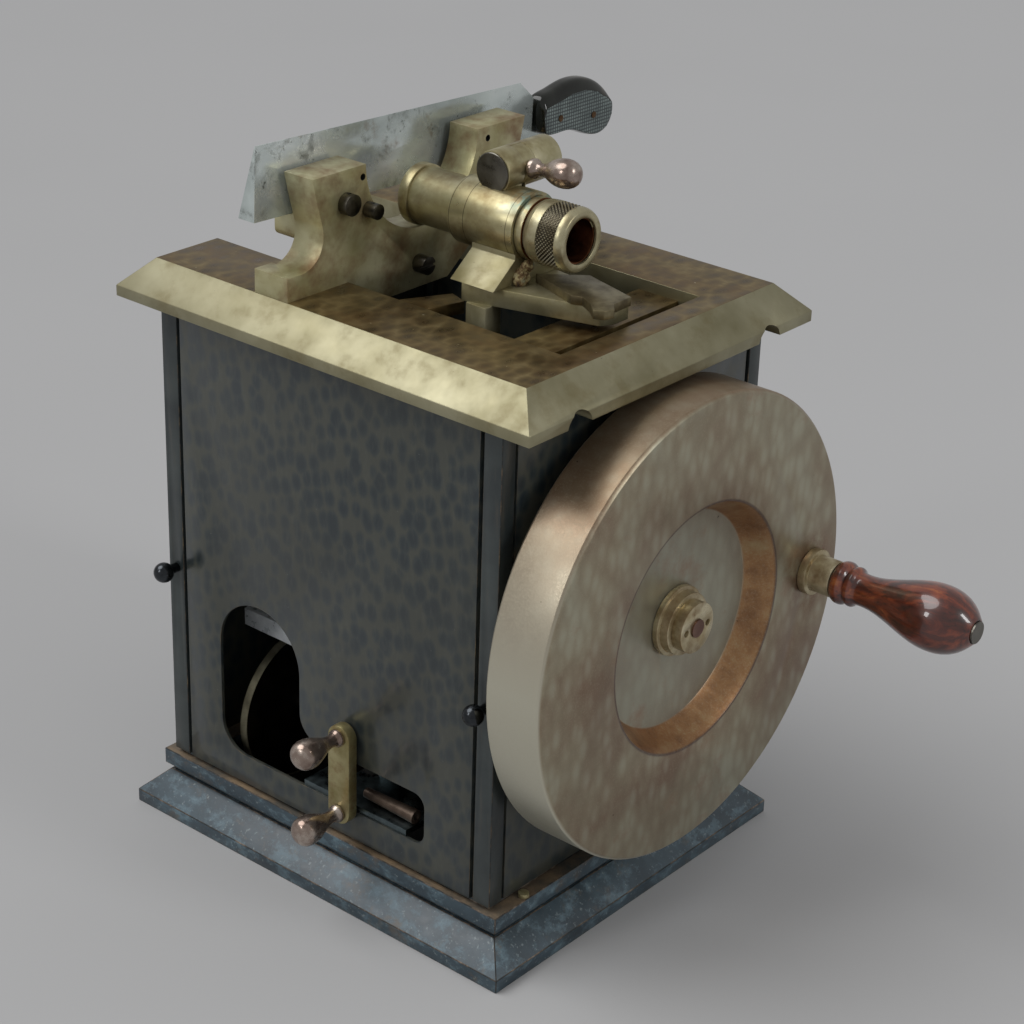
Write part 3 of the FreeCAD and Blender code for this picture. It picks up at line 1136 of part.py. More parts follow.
# Vertical slide on two guide rods, with a yoke for the crank pin and a bed for the feed
for side, sign in (("front", -1), ("rear", 1)):
    node(rod("guide_" + side, "Z", s.rod_x, sign * s.rod_y, s.board_thick, s.rod_r,
             s.plate_bottom - s.board_thick), "guide_rod_" + side)
sleeves = [
    rod("sleeve_" + side, "Z", s.rod_x, sign * s.rod_y, s.slide_bottom, s.sleeve_r,
        s.slide_top - s.slide_bottom)
    for side, sign in (("front", -1), ("rear", 1))
]
slide_solid = fuse("slide_solid", sleeves + [
    box("slide_body", s.slide_near, slide_far, -s.slide_half_y, s.slide_half_y,
        s.slide_bottom, s.slide_top),
    box("slide_apron", s.slide_near, slide_far, -s.apron_front, -s.apron_back,
        s.bed_bottom, s.slide_bottom),
    box("slide_bed", -s.bed_end, s.slide_near, -s.bed_front, -s.bed_back,
        s.bed_bottom, s.bed_top),
    box("slide_end", -s.bed_end, s.end_block - s.bed_end, -s.bed_front, -s.bed_back,
        s.bed_bottom, s.end_block_top),
    box("slide_tie", -s.tie_end, slide_far, -s.tie_front, s.tie_thick - s.tie_front,
        s.tie_bottom, s.tie_bottom + s.tie_height),
])
rod_holes = [
    rod("slide_hole_" + side, "Z", s.rod_x, sign * s.rod_y, ZERO, s.rod_r + s.run_gap,
        s.plate_bottom)
    for side, sign in (("front", -1), ("rear", 1))
]
yoke_r = s.crank_pin_r + s.yoke_gap
yoke = box("slide_yoke", s.slide_near - s.slide_thick, slide_far + s.slide_thick,
           -s.yoke_half, s.yoke_half, pin_z - yoke_r, pin_z + yoke_r)
screw_hole = rod("slide_screw_hole", "X", -s.bed_end * 2, s.feed_y, s.feed_z,
                 s.journal_r + s.run_gap, s.bed_end * 4)
node(cut("slide_cut", slide_solid, rod_holes + [yoke, screw_hole]), "slide_frame")

# Feed: a screw with a fine-toothed wheel, and the carriage that carries the holder
gear_far = s.gear_near - s.gear_thick
block_near = s.end_block - s.bed_end
node(
    fuse("feed", [
        rod("feed_journal", "X", gear_far, s.feed_y, s.feed_z, s.journal_r,
            slide_far - gear_far),
        rod("feed_thread", "X", block_near + s.face_gap, s.feed_y, s.feed_z, s.feed_r,
            s.slide_near - block_near - s.face_gap * 2),
    ]),
    "feed_screw",
)
gear_body = doc.addObject("PartDesign::Body", "gear")
gear_sketch = gear_body.newObject("Sketcher::SketchObject", "gear_circle")
gear_sketch.AttachmentSupport = [(origin_plane(gear_body, "YZ_Plane"), "")]
gear_sketch.MapMode = "FlatFace"
for number, radius in enumerate((s.gear_r, s.journal_r + s.fixed_gap)):
    gear_sketch.addGeometry(Part.Circle(Vector(0, 0, 0), Vector(0, 0, 1), radius.value), False)
    gear_sketch.addConstraint(Sketcher.Constraint("Coincident", number, 3, -1, 1))
    tie = gear_sketch.addConstraint(Sketcher.Constraint("Radius", number, radius.value))
    gear_sketch.setExpression(f"Constraints[{tie}]", radius.text)
gear_pad = gear_body.newObject("PartDesign::Pad", "gear_pad")
gear_pad.Profile = gear_sketch
bind(gear_pad, "Length", s.gear_thick)
doc.recompute()
plain_volume = gear_body.Shape.Volume
gap_sketch = outline(gear_body, "gear_gap", "YZ_Plane", [
    (s.gear_r - s.gear_tooth, ZERO), (s.gear_r + s.gear_tooth, -s.gear_tooth_half * 2),
    (s.gear_r + s.gear_tooth, s.gear_tooth_half * 2),
])
gear_gap = gear_body.newObject("PartDesign::Pocket", "gear_gap_cut")
gear_gap.Profile = gap_sketch
gear_gap.Type = "ThroughAll"
gear_gap.Midplane = True
gear_ring = gear_body.newObject("PartDesign::PolarPattern", "gear_gaps")
gear_ring.Originals = [gear_gap]
gear_ring.Axis = (gear_sketch, ["N_Axis"])
gear_ring.Angle = FULL_TURN
gear_ring.Occurrences = GEAR_TEETH
gear_body.Tip = gear_ring
doc.recompute()
if not gear_body.Shape.Volume < plain_volume:
    raise RuntimeError("the wheel has no tooth gaps")
put(gear_body, gear_far, s.feed_y, s.feed_z)
node(gear_body, "toothed_wheel")

carriage_end = s.carriage_near + s.carriage_length
leg_back_y = s.leg_thick - s.arm_y1
carriage_solid = box("carriage_blank", s.carriage_near, carriage_end, -s.bed_front, leg_back_y,
                     s.bed_top + s.face_gap, s.carriage_top)
carriage_hole = rod("carriage_hole", "X", s.carriage_near - s.feed_r, s.feed_y, s.feed_z,
                    s.feed_r + s.nut_clear, s.carriage_length + s.feed_r * 2)
bridge = box("rack_bridge", s.leg_front_x, s.leg_back_x, -s.rack_back, -s.bed_front,
             s.bridge_bottom, s.carriage_top)
node(cut("carriage_cut", fuse("carriage_solid", [carriage_solid, bridge]), [carriage_hole]),
     "feed_carriage")

# Rack and pinion: the winding crank moves the carriage back
pitch_z = s.reset_z + s.pinion_pitch_r
tooth_pitch = s.pinion_pitch_r * 2 * PI / s.pinion_teeth
rack_bar = box("rack_bar", s.reset_x - s.rack_half, s.reset_x + s.rack_half, -s.rack_front,
               -s.rack_back, pitch_z + s.rack_pitch_gap, pitch_z + s.rack_pitch_gap + s.rack_height)
rack_teeth = []
for number in range(RACK_TEETH):
    middle = s.reset_x + tooth_pitch * (number - RACK_TEETH / 2 + 0.5)
    tooth = slab(f"rack_tooth_{number}", "XZ_Plane", [
        (middle - s.tooth_half, pitch_z + s.rack_pitch_gap),
        (middle, pitch_z - s.rack_pitch_gap),
        (middle + s.tooth_half, pitch_z + s.rack_pitch_gap),
    ], s.rack_front - s.rack_back)
    rack_teeth.append(put(tooth, ZERO, -s.rack_back, ZERO))
node(fuse("rack_solid", [rack_bar] + rack_teeth), "feed_rack")

pinion_root = s.pinion_pitch_r - s.rack_pitch_gap
pinion = doc.addObject("PartDesign::Body", "pinion")
pinion_sketch = pinion.newObject("Sketcher::SketchObject", "pinion_circle")
pinion_sketch.AttachmentSupport = [(origin_plane(pinion, "XZ_Plane"), "")]
pinion_sketch.MapMode = "FlatFace"
pinion_sketch.addGeometry(Part.Circle(Vector(0, 0, 0), Vector(0, 0, 1), pinion_root.value), False)
pinion_sketch.addConstraint(Sketcher.Constraint("Coincident", 0, 3, -1, 1))
tie = pinion_sketch.addConstraint(Sketcher.Constraint("Radius", 0, pinion_root.value))
pinion_sketch.setExpression(f"Constraints[{tie}]", pinion_root.text)
pinion_pad = pinion.newObject("PartDesign::Pad", "pinion_pad")
pinion_pad.Profile = pinion_sketch
bind(pinion_pad, "Length", s.rack_front - s.rack_back)
tooth_sketch = outline(pinion, "pinion_tooth", "XZ_Plane", [
    (-s.tooth_half, pinion_root - s.rack_pitch_gap), (s.tooth_half, pinion_root - s.rack_pitch_gap),
    (s.tooth_half / 5, s.pinion_pitch_r + s.rack_pitch_gap),
    (-s.tooth_half / 5, s.pinion_pitch_r + s.rack_pitch_gap),
])
tooth_pad = pinion.newObject("PartDesign::Pad", "pinion_tooth_pad")
tooth_pad.Profile = tooth_sketch
bind(tooth_pad, "Length", s.rack_front - s.rack_back)
tooth_ring = pinion.newObject("PartDesign::PolarPattern", "pinion_teeth_ring")
tooth_ring.Originals = [tooth_pad]
tooth_ring.Axis = (pinion_sketch, ["N_Axis"])
tooth_ring.Angle = FULL_TURN
bind(tooth_ring, "Occurrences", s.pinion_teeth)
pinion.Tip = tooth_ring
put(pinion, s.reset_x, -s.rack_back, s.reset_z)
bar_back = s.bar_thick - s.bar_front
reset_shaft = rod("reset_shaft", "Y", s.reset_x, bar_back, s.reset_z, s.reset_shaft_r,
                  -s.bracket_back - bar_back)
node(fuse("reset_solid", [pinion, reset_shaft]), "reset_pinion")

plate_z = s.bracket_bottom + s.bracket_thick
bracket_solid = fuse("bracket_solid", [
    box("bracket_plate", s.bracket_left, s.bracket_right, -s.bracket_front, -s.bracket_back,
        s.bracket_bottom, plate_z),
    box("bracket_lug", s.reset_x - s.lug_half, s.reset_x + s.lug_half,
        -s.lug_back - s.lug_thick, -s.lug_back, s.bracket_bottom, s.lug_top),
])
lug_hole = rod("bracket_hole", "Y", s.reset_x, -s.lug_back - s.lug_thick * 2, s.reset_z,
               s.reset_shaft_r + s.run_gap, s.lug_thick * 3)
node(cut("bracket_cut", bracket_solid, [lug_hole]), "crank_bracket")

# Winding crank: a flat bar with a pear handle at each end
bar_top_z = s.bar_top - s.bar_half_x
bar_bottom_z = s.bar_bottom + s.bar_half_x
bar = fuse("bar_solid", [
    box("bar_middle", s.reset_x - s.bar_half_x, s.reset_x + s.bar_half_x, -s.bar_front, bar_back,
        bar_bottom_z, bar_top_z),
    rod("bar_round_top", "Y", s.reset_x, -s.bar_front, bar_top_z, s.bar_half_x, s.bar_thick),
    rod("bar_round_low", "Y", s.reset_x, -s.bar_front, bar_bottom_z, s.bar_half_x, s.bar_thick),
])
node(bar, "crank_bar")
for side, z in (("upper", s.pear_up_z), ("lower", s.pear_down_z)):
    pear = fuse("pear_" + side, [
        ball("pear_ball_" + side, s.reset_x, -s.pear_y, z, s.pear_r),
        cone("pear_taper_" + side, "Y", s.reset_x, -s.pear_y, z, s.pear_r * 0.8,
             s.pear_neck_r, s.pear_y - s.bar_front - s.pear_collar),
        rod("pear_collar_" + side, "Y", s.reset_x, -s.bar_front - s.pear_collar, z,
            s.pear_collar_r, s.pear_collar),
    ])
    node(pear, "crank_handle_" + side)

taper_z = plate_z + s.taper_thick_r + s.fixed_gap
taper_body = cone("taper_body", "X", s.taper_x, -s.taper_y, taper_z, s.taper_thin_r,
                  s.taper_thick_r, s.taper_length)
taper_hole = rod("taper_hole", "X", s.taper_x + s.taper_length - s.taper_thick_r, -s.taper_y,
                 taper_z, s.taper_hole_r, s.taper_thick_r * 2)
node(cut("taper_cut", taper_body, [taper_hole]), "tapered_spindle")

# Check every object, then write one file for each piece
doc.recompute()
for obj in doc.Objects:
    if "Invalid" in obj.State or "Error" in obj.State:
        raise RuntimeError(f"{obj.Label} failed: {obj.State}")
os.makedirs("parts", exist_ok=True)
for obj in NODES:
    if obj.Shape.isNull() or not obj.Shape.isValid():
        raise RuntimeError(f"{obj.Label} has no valid shape")
    if len(obj.Shape.Solids) != 1:
        raise RuntimeError(f"{obj.Label} has {len(obj.Shape.Solids)} solids")
    obj.Shape.exportStep(f"parts/{obj.Label}.step")
print(len(NODES), "pieces written")
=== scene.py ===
"""Looks of the box microtome: eased metalwork, turned handles, a knurled nut and aged finishes."""

import json
import math

import bmesh
import bpy
from mathutils import Matrix, Vector

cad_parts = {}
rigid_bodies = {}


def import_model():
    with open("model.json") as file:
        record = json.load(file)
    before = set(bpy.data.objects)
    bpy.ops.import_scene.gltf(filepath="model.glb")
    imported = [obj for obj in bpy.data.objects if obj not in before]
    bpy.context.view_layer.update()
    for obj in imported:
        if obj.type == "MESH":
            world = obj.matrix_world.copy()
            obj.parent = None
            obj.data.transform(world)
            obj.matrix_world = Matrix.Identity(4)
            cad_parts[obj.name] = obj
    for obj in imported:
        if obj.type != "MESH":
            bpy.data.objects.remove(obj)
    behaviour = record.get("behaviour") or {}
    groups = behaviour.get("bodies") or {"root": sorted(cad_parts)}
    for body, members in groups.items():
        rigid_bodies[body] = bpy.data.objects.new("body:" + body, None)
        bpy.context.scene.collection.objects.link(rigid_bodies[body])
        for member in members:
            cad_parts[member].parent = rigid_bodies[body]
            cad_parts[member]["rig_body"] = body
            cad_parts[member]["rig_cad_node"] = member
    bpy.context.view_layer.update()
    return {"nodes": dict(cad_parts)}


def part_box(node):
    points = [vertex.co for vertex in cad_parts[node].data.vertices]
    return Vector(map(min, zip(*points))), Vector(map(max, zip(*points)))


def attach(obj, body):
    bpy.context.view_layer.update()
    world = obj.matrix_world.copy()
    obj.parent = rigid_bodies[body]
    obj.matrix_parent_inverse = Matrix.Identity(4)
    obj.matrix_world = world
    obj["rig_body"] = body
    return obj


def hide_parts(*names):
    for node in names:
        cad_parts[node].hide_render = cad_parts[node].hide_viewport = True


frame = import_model()

MM = 0.001
QUARTER = math.pi / 2

# What counts as one place, one point, one flat, a sharp edge and a smooth one
NEAR = 0.01 * MM
WELD = 0.002 * MM
FLAT = math.radians(0.4)
SHARP = math.radians(30)
SMOOTH = math.radians(35)
EDGE_ROUNDS = 2

# Directions of the lathe, and how a circle is turned to face each
ALONG = {"X": Vector((1, 0, 0)), "Y": Vector((0, 1, 0))}
TURN = {"X": (0, QUARTER, 0), "Y": (QUARTER, 0, 0)}

# Axes of the turned pieces, in millimetres
TUBE_Z = 298.5
WHEEL_Z = 145.3
GRIP_Y, GRIP_Z = 83.3, 142.5
FEED_Y, FEED_Z = -42, 52
BOLT_X, BOLT_Z = 19, 319


# Selecting, shaping and finishing a piece
def pick(piece):
    """Makes this piece the only one selected."""
    bpy.ops.object.select_all(action="DESELECT")
    piece.select_set(True)
    bpy.context.view_layer.objects.active = piece


def added(name):
    """The piece that was just added, under its name."""
    piece = bpy.context.active_object
    piece.name = name
    piece.data.name = name
    return piece


def cover(piece, *finishes):
    """Gives a piece its finishes, in the order of their numbers."""
    for finish in finishes:
        piece.data.materials.append(finish)


def join_to(piece, other):
    """Makes two pieces one, under the name of the first."""
    pick(piece)
    other.select_set(True)
    bpy.ops.object.join()


def open_mesh():
    """Opens the picked piece for work on its points."""
    bpy.ops.object.mode_set(mode="EDIT")
    bpy.ops.mesh.select_mode(type="VERT")


def close_mesh():
    """Ends the work on the points."""
    bpy.ops.object.mode_set(mode="OBJECT")


def choose(piece, kind, test):
    """Selects the faces, edges or points of an open mesh that pass the test."""
    bpy.ops.mesh.select_mode(type={"faces": "FACE", "edges": "EDGE", "verts": "VERT"}[kind])
    bpy.ops.mesh.select_all(action="DESELECT")
    mesh = bmesh.from_edit_mesh(piece.data)
    for item in getattr(mesh, kind):
        item.select_set(test(item))
    mesh.select_flush_mode()
    bmesh.update_edit_mesh(piece.data)


def settle(piece):
    """Puts the piece's own centre at the origin, its place kept in its mesh."""
    pick(piece)
    bpy.ops.object.transform_apply(location=True, rotation=True, scale=True)


def apply_all(piece):
    """Makes what the modifiers do part of the mesh."""
    pick(piece)
    for modifier in list(piece.modifiers):
        bpy.ops.object.modifier_apply(modifier=modifier.name)


def ease(piece, width, wear_slot=None):
    """Rounds the sharp edges of a piece, and gives the rounds a finish of their own."""
    edge = piece.modifiers.new("eased edges", "BEVEL")
    edge.width = width * MM
    edge.segments = EDGE_ROUNDS
    edge.limit_method = "ANGLE"
    edge.angle_limit = SHARP
    edge.use_clamp_overlap = True
    if wear_slot is not None:
        edge.material = wear_slot
    apply_all(piece)
    bpy.ops.object.shade_smooth_by_angle(angle=SMOOTH)


def round_corners(piece, width, rounds, test):
    """Turns the corners of a flat outline that runs along X into bends."""
    pick(piece)
    open_mesh()

    def runs_along(edge):
        first, last = edge.verts[0].co, edge.verts[1].co
        level = abs(first.y - last.y) < NEAR and abs(first.z - last.z) < NEAR
        return level and test((first + last) / 2 / MM)

    choose(piece, "edges", runs_along)
    bpy.ops.mesh.bevel(offset=width * MM, segments=rounds, affect="EDGES", clamp_overlap=False)
    close_mesh()


def fit(piece, node):
    """The piece stands for this solid and moves with its body."""
    body = frame["nodes"][node]["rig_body"]
    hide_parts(node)
    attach(piece, body)


def eased(node, width, *finishes, wear_slot=None, faces=None, bend=None):
    """A copy of a solid with rounded edges and its real finish, shown in its place."""
    pick(frame["nodes"][node])
    bpy.ops.object.duplicate()
    piece = added(node + "_finished")
    bpy.ops.object.parent_clear(type="CLEAR_KEEP_TRANSFORM")
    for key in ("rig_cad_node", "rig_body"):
        del piece[key]
    piece.data.materials.clear()
    cover(piece, *finishes)
    bpy.ops.mesh.customdata_custom_splitnormals_clear()
    open_mesh()
    bpy.ops.mesh.select_all(action="SELECT")
    bpy.ops.mesh.remove_doubles(threshold=WELD)
    bpy.ops.mesh.dissolve_limited(angle_limit=FLAT)
    close_mesh()
    if bend:
        round_corners(piece, *bend)
    for face in piece.data.polygons:
        face.material_index = 0
    if faces:
        for face in piece.data.polygons:
            face.material_index = faces(face.center / MM, face.normal)
    ease(piece, width, wear_slot)
    fit(piece, node)
    return piece


def turned(name, axis, centre, rings, *finishes, steps=72, closed=False, finish_of=None):
    """A piece turned on a lathe from rings of (place along the axis, radius), in millimetres."""
    along = ALONG[axis]
    middle_line = Vector(centre) * MM
    place, radius = rings[0]
    bpy.ops.object.select_all(action="DESELECT")
    bpy.ops.mesh.primitive_circle_add(vertices=steps, radius=radius * MM, fill_type="NOTHING",
                                      location=middle_line + along * place * MM, rotation=TURN[axis])
    piece = added(name)
    settle(piece)
    open_mesh()
    bpy.ops.mesh.select_all(action="SELECT")
    if not closed:
        bpy.ops.mesh.edge_face_add()
        bpy.ops.mesh.select_all(action="SELECT")
    for next_place, next_radius in rings[1:]:
        step = along * (next_place - place) * MM
        bpy.ops.mesh.extrude_region_move(TRANSFORM_OT_translate={"value": step})
        scale = next_radius / radius
        bpy.ops.transform.resize(value=(scale, scale, scale), orient_type="GLOBAL",
                                 center_override=middle_line + along * next_place * MM)
        place, radius = next_place, next_radius
    bpy.ops.mesh.select_all(action="SELECT")
    bpy.ops.mesh.remove_doubles(threshold=WELD)
    bpy.ops.mesh.normals_make_consistent(inside=False)
    close_mesh()
    cover(piece, *finishes)
    if finish_of:
        for face in piece.data.polygons:
            face.material_index = finish_of(face.center / MM)
    pick(piece)
    bpy.ops.object.shade_smooth_by_angle(angle=SMOOTH)
    return piece


# Finishes
def tint(code):
    """A colour code of the screen, brought from screen steps to amounts of light."""
    parts = [int(code[i:i + 2], 16) / 255 for i in (0, 2, 4)]
    return [p / 12.92 if p <= 0.04045 else ((p + 0.055) / 1.055) ** 2.4 for p in parts] + [1.0]


class Finish:
    """A finish mixed from patterns that lie in the piece itself."""

    def __init__(self, name, rough=0.4, metal=0.0, coat=0.0, coat_rough=0.1):
        self.material = bpy.data.materials.new(name)
        self.material.use_nodes = True
        self.tree = self.material.node_tree
        self.shader = self.tree.nodes["Principled BSDF"]
        self.shader.inputs["Roughness"].default_value = rough
        self.shader.inputs["Metallic"].default_value = metal
        self.shader.inputs["Coat Weight"].default_value = coat
        self.shader.inputs["Coat Roughness"].default_value = coat_rough
        self.place = self.tree.nodes.new("ShaderNodeTexCoord").outputs["Object"]

    def join(self, source, target):
        """Feeds an input from a pattern, or sets it to a plain value."""
        if hasattr(source, "is_output"):
            self.tree.links.new(source, target)
        else:
            target.default_value = source

    def set(self, name, source):
        """Feeds one of the finish's own inputs."""
        self.join(source, self.shader.inputs[name])

    def laid(self, scale=(1, 1, 1), turn=(0, 0, 0), shift=(0, 0, 0)):
        """The place in the piece, stretched and turned in degrees."""
        node = self.tree.nodes.new("ShaderNodeMapping")
        node.inputs["Scale"].default_value = scale
        node.inputs["Rotation"].default_value = [math.radians(a) for a in turn]
        node.inputs["Location"].default_value = shift
        self.join(self.place, node.inputs["Vector"])
        return node.outputs["Vector"]

    def cloud(self, size, detail=4.0, rough=0.55, place=None, warp=0.0):
        """Soft irregular patches of about this size in millimetres."""
        node = self.tree.nodes.new("ShaderNodeTexNoise")
        node.inputs["Scale"].default_value = 1.0 / (size * MM)
        node.inputs["Detail"].default_value = detail
        node.inputs["Roughness"].default_value = rough
        node.inputs["Distortion"].default_value = warp
        self.join(place or self.place, node.inputs["Vector"])
        return node.outputs["Fac"]

    def dapple(self, size, place, random=0.7):
        """Overlapping tool spots of about this size, from 0 in a middle to near 1 on a border."""
        soft_border, border_share, tone_share = 0.35, 1.25, 0.3
        cells = self.tree.nodes.new("ShaderNodeTexVoronoi")
        cells.feature = "SMOOTH_F1"
        cells.inputs["Scale"].default_value = 1.0 / (size * MM)
        cells.inputs["Randomness"].default_value = random
        cells.inputs["Smoothness"].default_value = soft_border
        self.join(place, cells.inputs["Vector"])
        tone = self.tree.nodes.new("ShaderNodeSeparateColor")
        self.join(cells.outputs["Color"], tone.inputs["Color"])
        border = self.times(cells.outputs["Distance"], border_share)
        own_tone = self.times(self.sum(tone.outputs["Red"], -0.5), tone_share)
        return self.sum(border, own_tone)

    def _maths(self, operation, first, second, clamp=False):
        node = self.tree.nodes.new("ShaderNodeMath")
        node.operation = operation
        node.use_clamp = clamp
        self.join(first, node.inputs[0])
        self.join(second, node.inputs[1])
        return node.outputs["Value"]

    def sum(self, first, second):
        return self._maths("ADD", first, second)

    def times(self, first, second):
        return self._maths("MULTIPLY", first, second)

    def both(self, first, second):
        """The lower of two patterns: only what lies in both is seen."""
        return self._maths("MINIMUM", first, second, clamp=True)

    def shades(self, source, *stops):
        """Colours along a pattern, as (value, colour)."""
        node = self.tree.nodes.new("ShaderNodeValToRGB")
        marks = node.color_ramp.elements
        while len(marks) < len(stops):
            marks.new(0.5)
        for mark, (value, code) in zip(marks, stops):
            mark.position = value
            mark.color = tint(code)
        self.join(source, node.inputs["Fac"])
        return node.outputs["Color"]

    def between(self, source, low, high, out_low=0.0, out_high=1.0):
        """A pattern stretched so that low and high become the given ends."""
        node = self.tree.nodes.new("ShaderNodeMapRange")
        self.join(source, node.inputs["Value"])
        node.inputs["From Min"].default_value = low
        node.inputs["From Max"].default_value = high
        node.inputs["To Min"].default_value = out_low
        node.inputs["To Max"].default_value = out_high
        return node.outputs["Result"]

    def band(self, source, low, low_full, high_full, high):
        """1 where a pattern lies between two values, with a soft border at each."""
        return self.both(self.between(source, low, low_full), self.between(source, high, high_full))

    def blend(self, factor, first, second):
        """The first colour where the factor is 0, the second where it is 1."""
        node = self.tree.nodes.new("ShaderNodeMix")
        node.data_type = "RGBA"
        self.join(factor, node.inputs["Factor"])
        self.join(tint(first) if isinstance(first, str) else first, node.inputs["A"])
        self.join(tint(second) if isinstance(second, str) else second, node.inputs["B"])
        return node.outputs["Result"]

    def over(self, colour, stain, pattern, low, high, most=1.0):
        """Lays a stain over a colour: none where the pattern is low, the most where it is high."""
        return self.blend(self.between(pattern, low, high, 0.0, most), colour, stain)

    def relief(self, height, depth, strength):
        """Bumps the surface by a pattern, depth in millimetres."""
        node = self.tree.nodes.new("ShaderNodeBump")
        node.inputs["Distance"].default_value = depth * MM
        node.inputs["Strength"].default_value = strength
        self.join(height, node.inputs["Height"])
        self.set("Normal", node.outputs["Normal"])

    def ring_out(self, y, z):
        """Distance from an axis along X through this place, in millimetres."""
        node = self.tree.nodes.new("ShaderNodeVectorMath")
        node.operation = "LENGTH"
        self.join(self.laid(scale=(0, 1000, 1000), shift=(0, -y, -z)), node.inputs[0])
        return node.outputs["Value"]

    def along(self, axis):
        """Place along an axis, in millimetres."""
        node = self.tree.nodes.new("ShaderNodeSeparateXYZ")
        self.join(self.laid(scale=(1000, 1000, 1000)), node.inputs[0])
        return node.outputs[axis]


def spotted_panel():
    """Blue-black metal sheet, worked all over with oval tool spots that leave paler borders."""
    f = Finish("spotted_panel", rough=0.34, metal=0.2, coat=0.35, coat_rough=0.12)
    spots = f.dapple(7.6, place=f.laid(scale=(1.2, 1.2, 0.85), turn=(0, 18, 0)))
    patches = f.cloud(38, detail=3)
    grain = f.cloud(2.2, detail=4, place=f.laid(scale=(1, 1, 0.3), turn=(0, 8, 0)))
    colour = f.shades(spots, (0.25, "262e32"), (0.45, "2d3537"), (0.75, "42443d"))
    colour = f.over(colour, "3a3c36", patches, low=0.35, high=0.7, most=0.45)
    colour = f.over(colour, "54564e", grain, low=0.5, high=0.8, most=0.3)
    specks = f.cloud(1.6, detail=1)
    colour = f.over(colour, "7c817a", specks, low=0.8, high=0.82, most=0.6)
    f.set("Base Color", colour)
    f.set("Roughness", f.between(spots, 0.2, 0.8, out_low=0.28, out_high=0.44))
    f.relief(spots, depth=0.004, strength=0.3)
    return f.material


def post_black():
    """Black paint of the corner posts, streaked upright."""
    f = Finish("post_black", rough=0.38, metal=0.2, coat=0.3, coat_rough=0.2)
    patches = f.cloud(20, detail=4)
    colour = f.shades(patches, (0.3, "22292b"), (0.7, "383f3e"))
    streaks = f.cloud(3, detail=3, place=f.laid(scale=(1, 1, 0.12)))
    colour = f.over(colour, "45423a", streaks, low=0.55, high=0.75, most=0.5)
    f.set("Base Color", colour)
    f.relief(f.cloud(2.5), depth=0.02, strength=0.4)
    return f.material


def bare_edge():
    """Lacquer rubbed through to brown metal along an edge."""
    f = Finish("bare_edge", rough=0.45, metal=0.35)
    wear = f.cloud(7, detail=5, rough=0.65)
    f.set("Base Color", f.shades(wear, (0.45, "2a2f30"), (0.58, "4c4338"), (0.72, "77694f")))
    return f.material


def base_black():
    """Black-blue paint of the base, scratched, dusty and rubbed brown."""
    f = Finish("base_black", rough=0.42, coat=0.3, coat_rough=0.28)
    patches = f.cloud(34, detail=5, rough=0.6)
    colour = f.shades(patches, (0.28, "1b252c"), (0.5, "2c3c45"), (0.74, "41545e"))
    dust = f.cloud(7, detail=8, rough=0.75, place=f.laid(scale=(0.6, 0.6, 1)))
    dusty = f.both(f.between(dust, 0.5, 0.8), f.between(patches, 0.35, 0.65, out_low=0.1, out_high=0.6))
    colour = f.blend(dusty, colour, "76909b")
    rust = f.cloud(16, detail=7, rough=0.75, warp=0.4)
    colour = f.over(colour, "5a4d3e", rust, low=0.56, high=0.68, most=0.7)
    f.set("Roughness", f.between(dust, 0.3, 0.7, out_low=0.3, out_high=0.65))
    specks = f.cloud(1.7, detail=3)
    colour = f.over(colour, "8a9596", specks, low=0.62, high=0.7, most=0.5)
    f.set("Base Color", colour)
    f.relief(f.cloud(2.2, detail=5, rough=0.6), depth=0.04, strength=0.5)
    return f.material


def worn_base_edge():
    """Edges of the base, rubbed to brown and grey in places."""
    f = Finish("worn_base_edge", rough=0.5, metal=0.2)
    wear = f.cloud(9, detail=7, rough=0.75)
    colour = f.shades(wear, (0.42, "262c2e"), (0.52, "4c4238"), (0.62, "77685a"), (0.74, "8f8a7e"))
    f.set("Base Color", colour)
    f.relief(wear, depth=0.1, strength=0.6)
    return f.material


def worn_ledge():
    """Upper side of the step, rubbed to a tan brown."""
    f = Finish("worn_ledge", rough=0.5, metal=0.1)
    wear = f.cloud(14, detail=7, rough=0.72, place=f.laid(scale=(0.35, 0.35, 1)))
    colour = f.shades(wear, (0.35, "343a3a"), (0.48, "5d5244"), (0.6, "7d6a52"), (0.75, "8f8168"))
    f.set("Base Color", colour)
    f.relief(f.cloud(2.0, detail=5), depth=0.06, strength=0.5)
    return f.material


def plate_top_brass():
    """Brass worked with dark oval tool spots."""
    f = Finish("plate_top_brass", rough=0.3, metal=0.8)
    spots = f.dapple(6.0, place=f.laid(scale=(1.2, 0.75, 1), turn=(0, 0, 35)))
    stain = f.cloud(26, detail=4, rough=0.6)
    fine = f.cloud(2.2, detail=4, place=f.laid(scale=(0.3, 1, 1), turn=(0, 0, 30)))
    colour = f.shades(spots, (0.15, "5a4b30"), (0.45, "6a5939"), (0.75, "7f6d48"), (1.0, "8f7e58"))
    colour = f.over(colour, "6e5230", stain, low=0.42, high=0.66, most=0.65)
    colour = f.over(colour, "574c34", fine, low=0.45, high=0.75, most=0.45)
    pale = f.cloud(2.4, detail=1)
    colour = f.over(colour, "d8cdb0", pale, low=0.8, high=0.83)
    f.set("Base Color", colour)
    f.set("Roughness", f.between(spots, 0.1, 0.9, out_low=0.26, out_high=0.4))
    f.relief(spots, depth=0.004, strength=0.4)
    return f.material


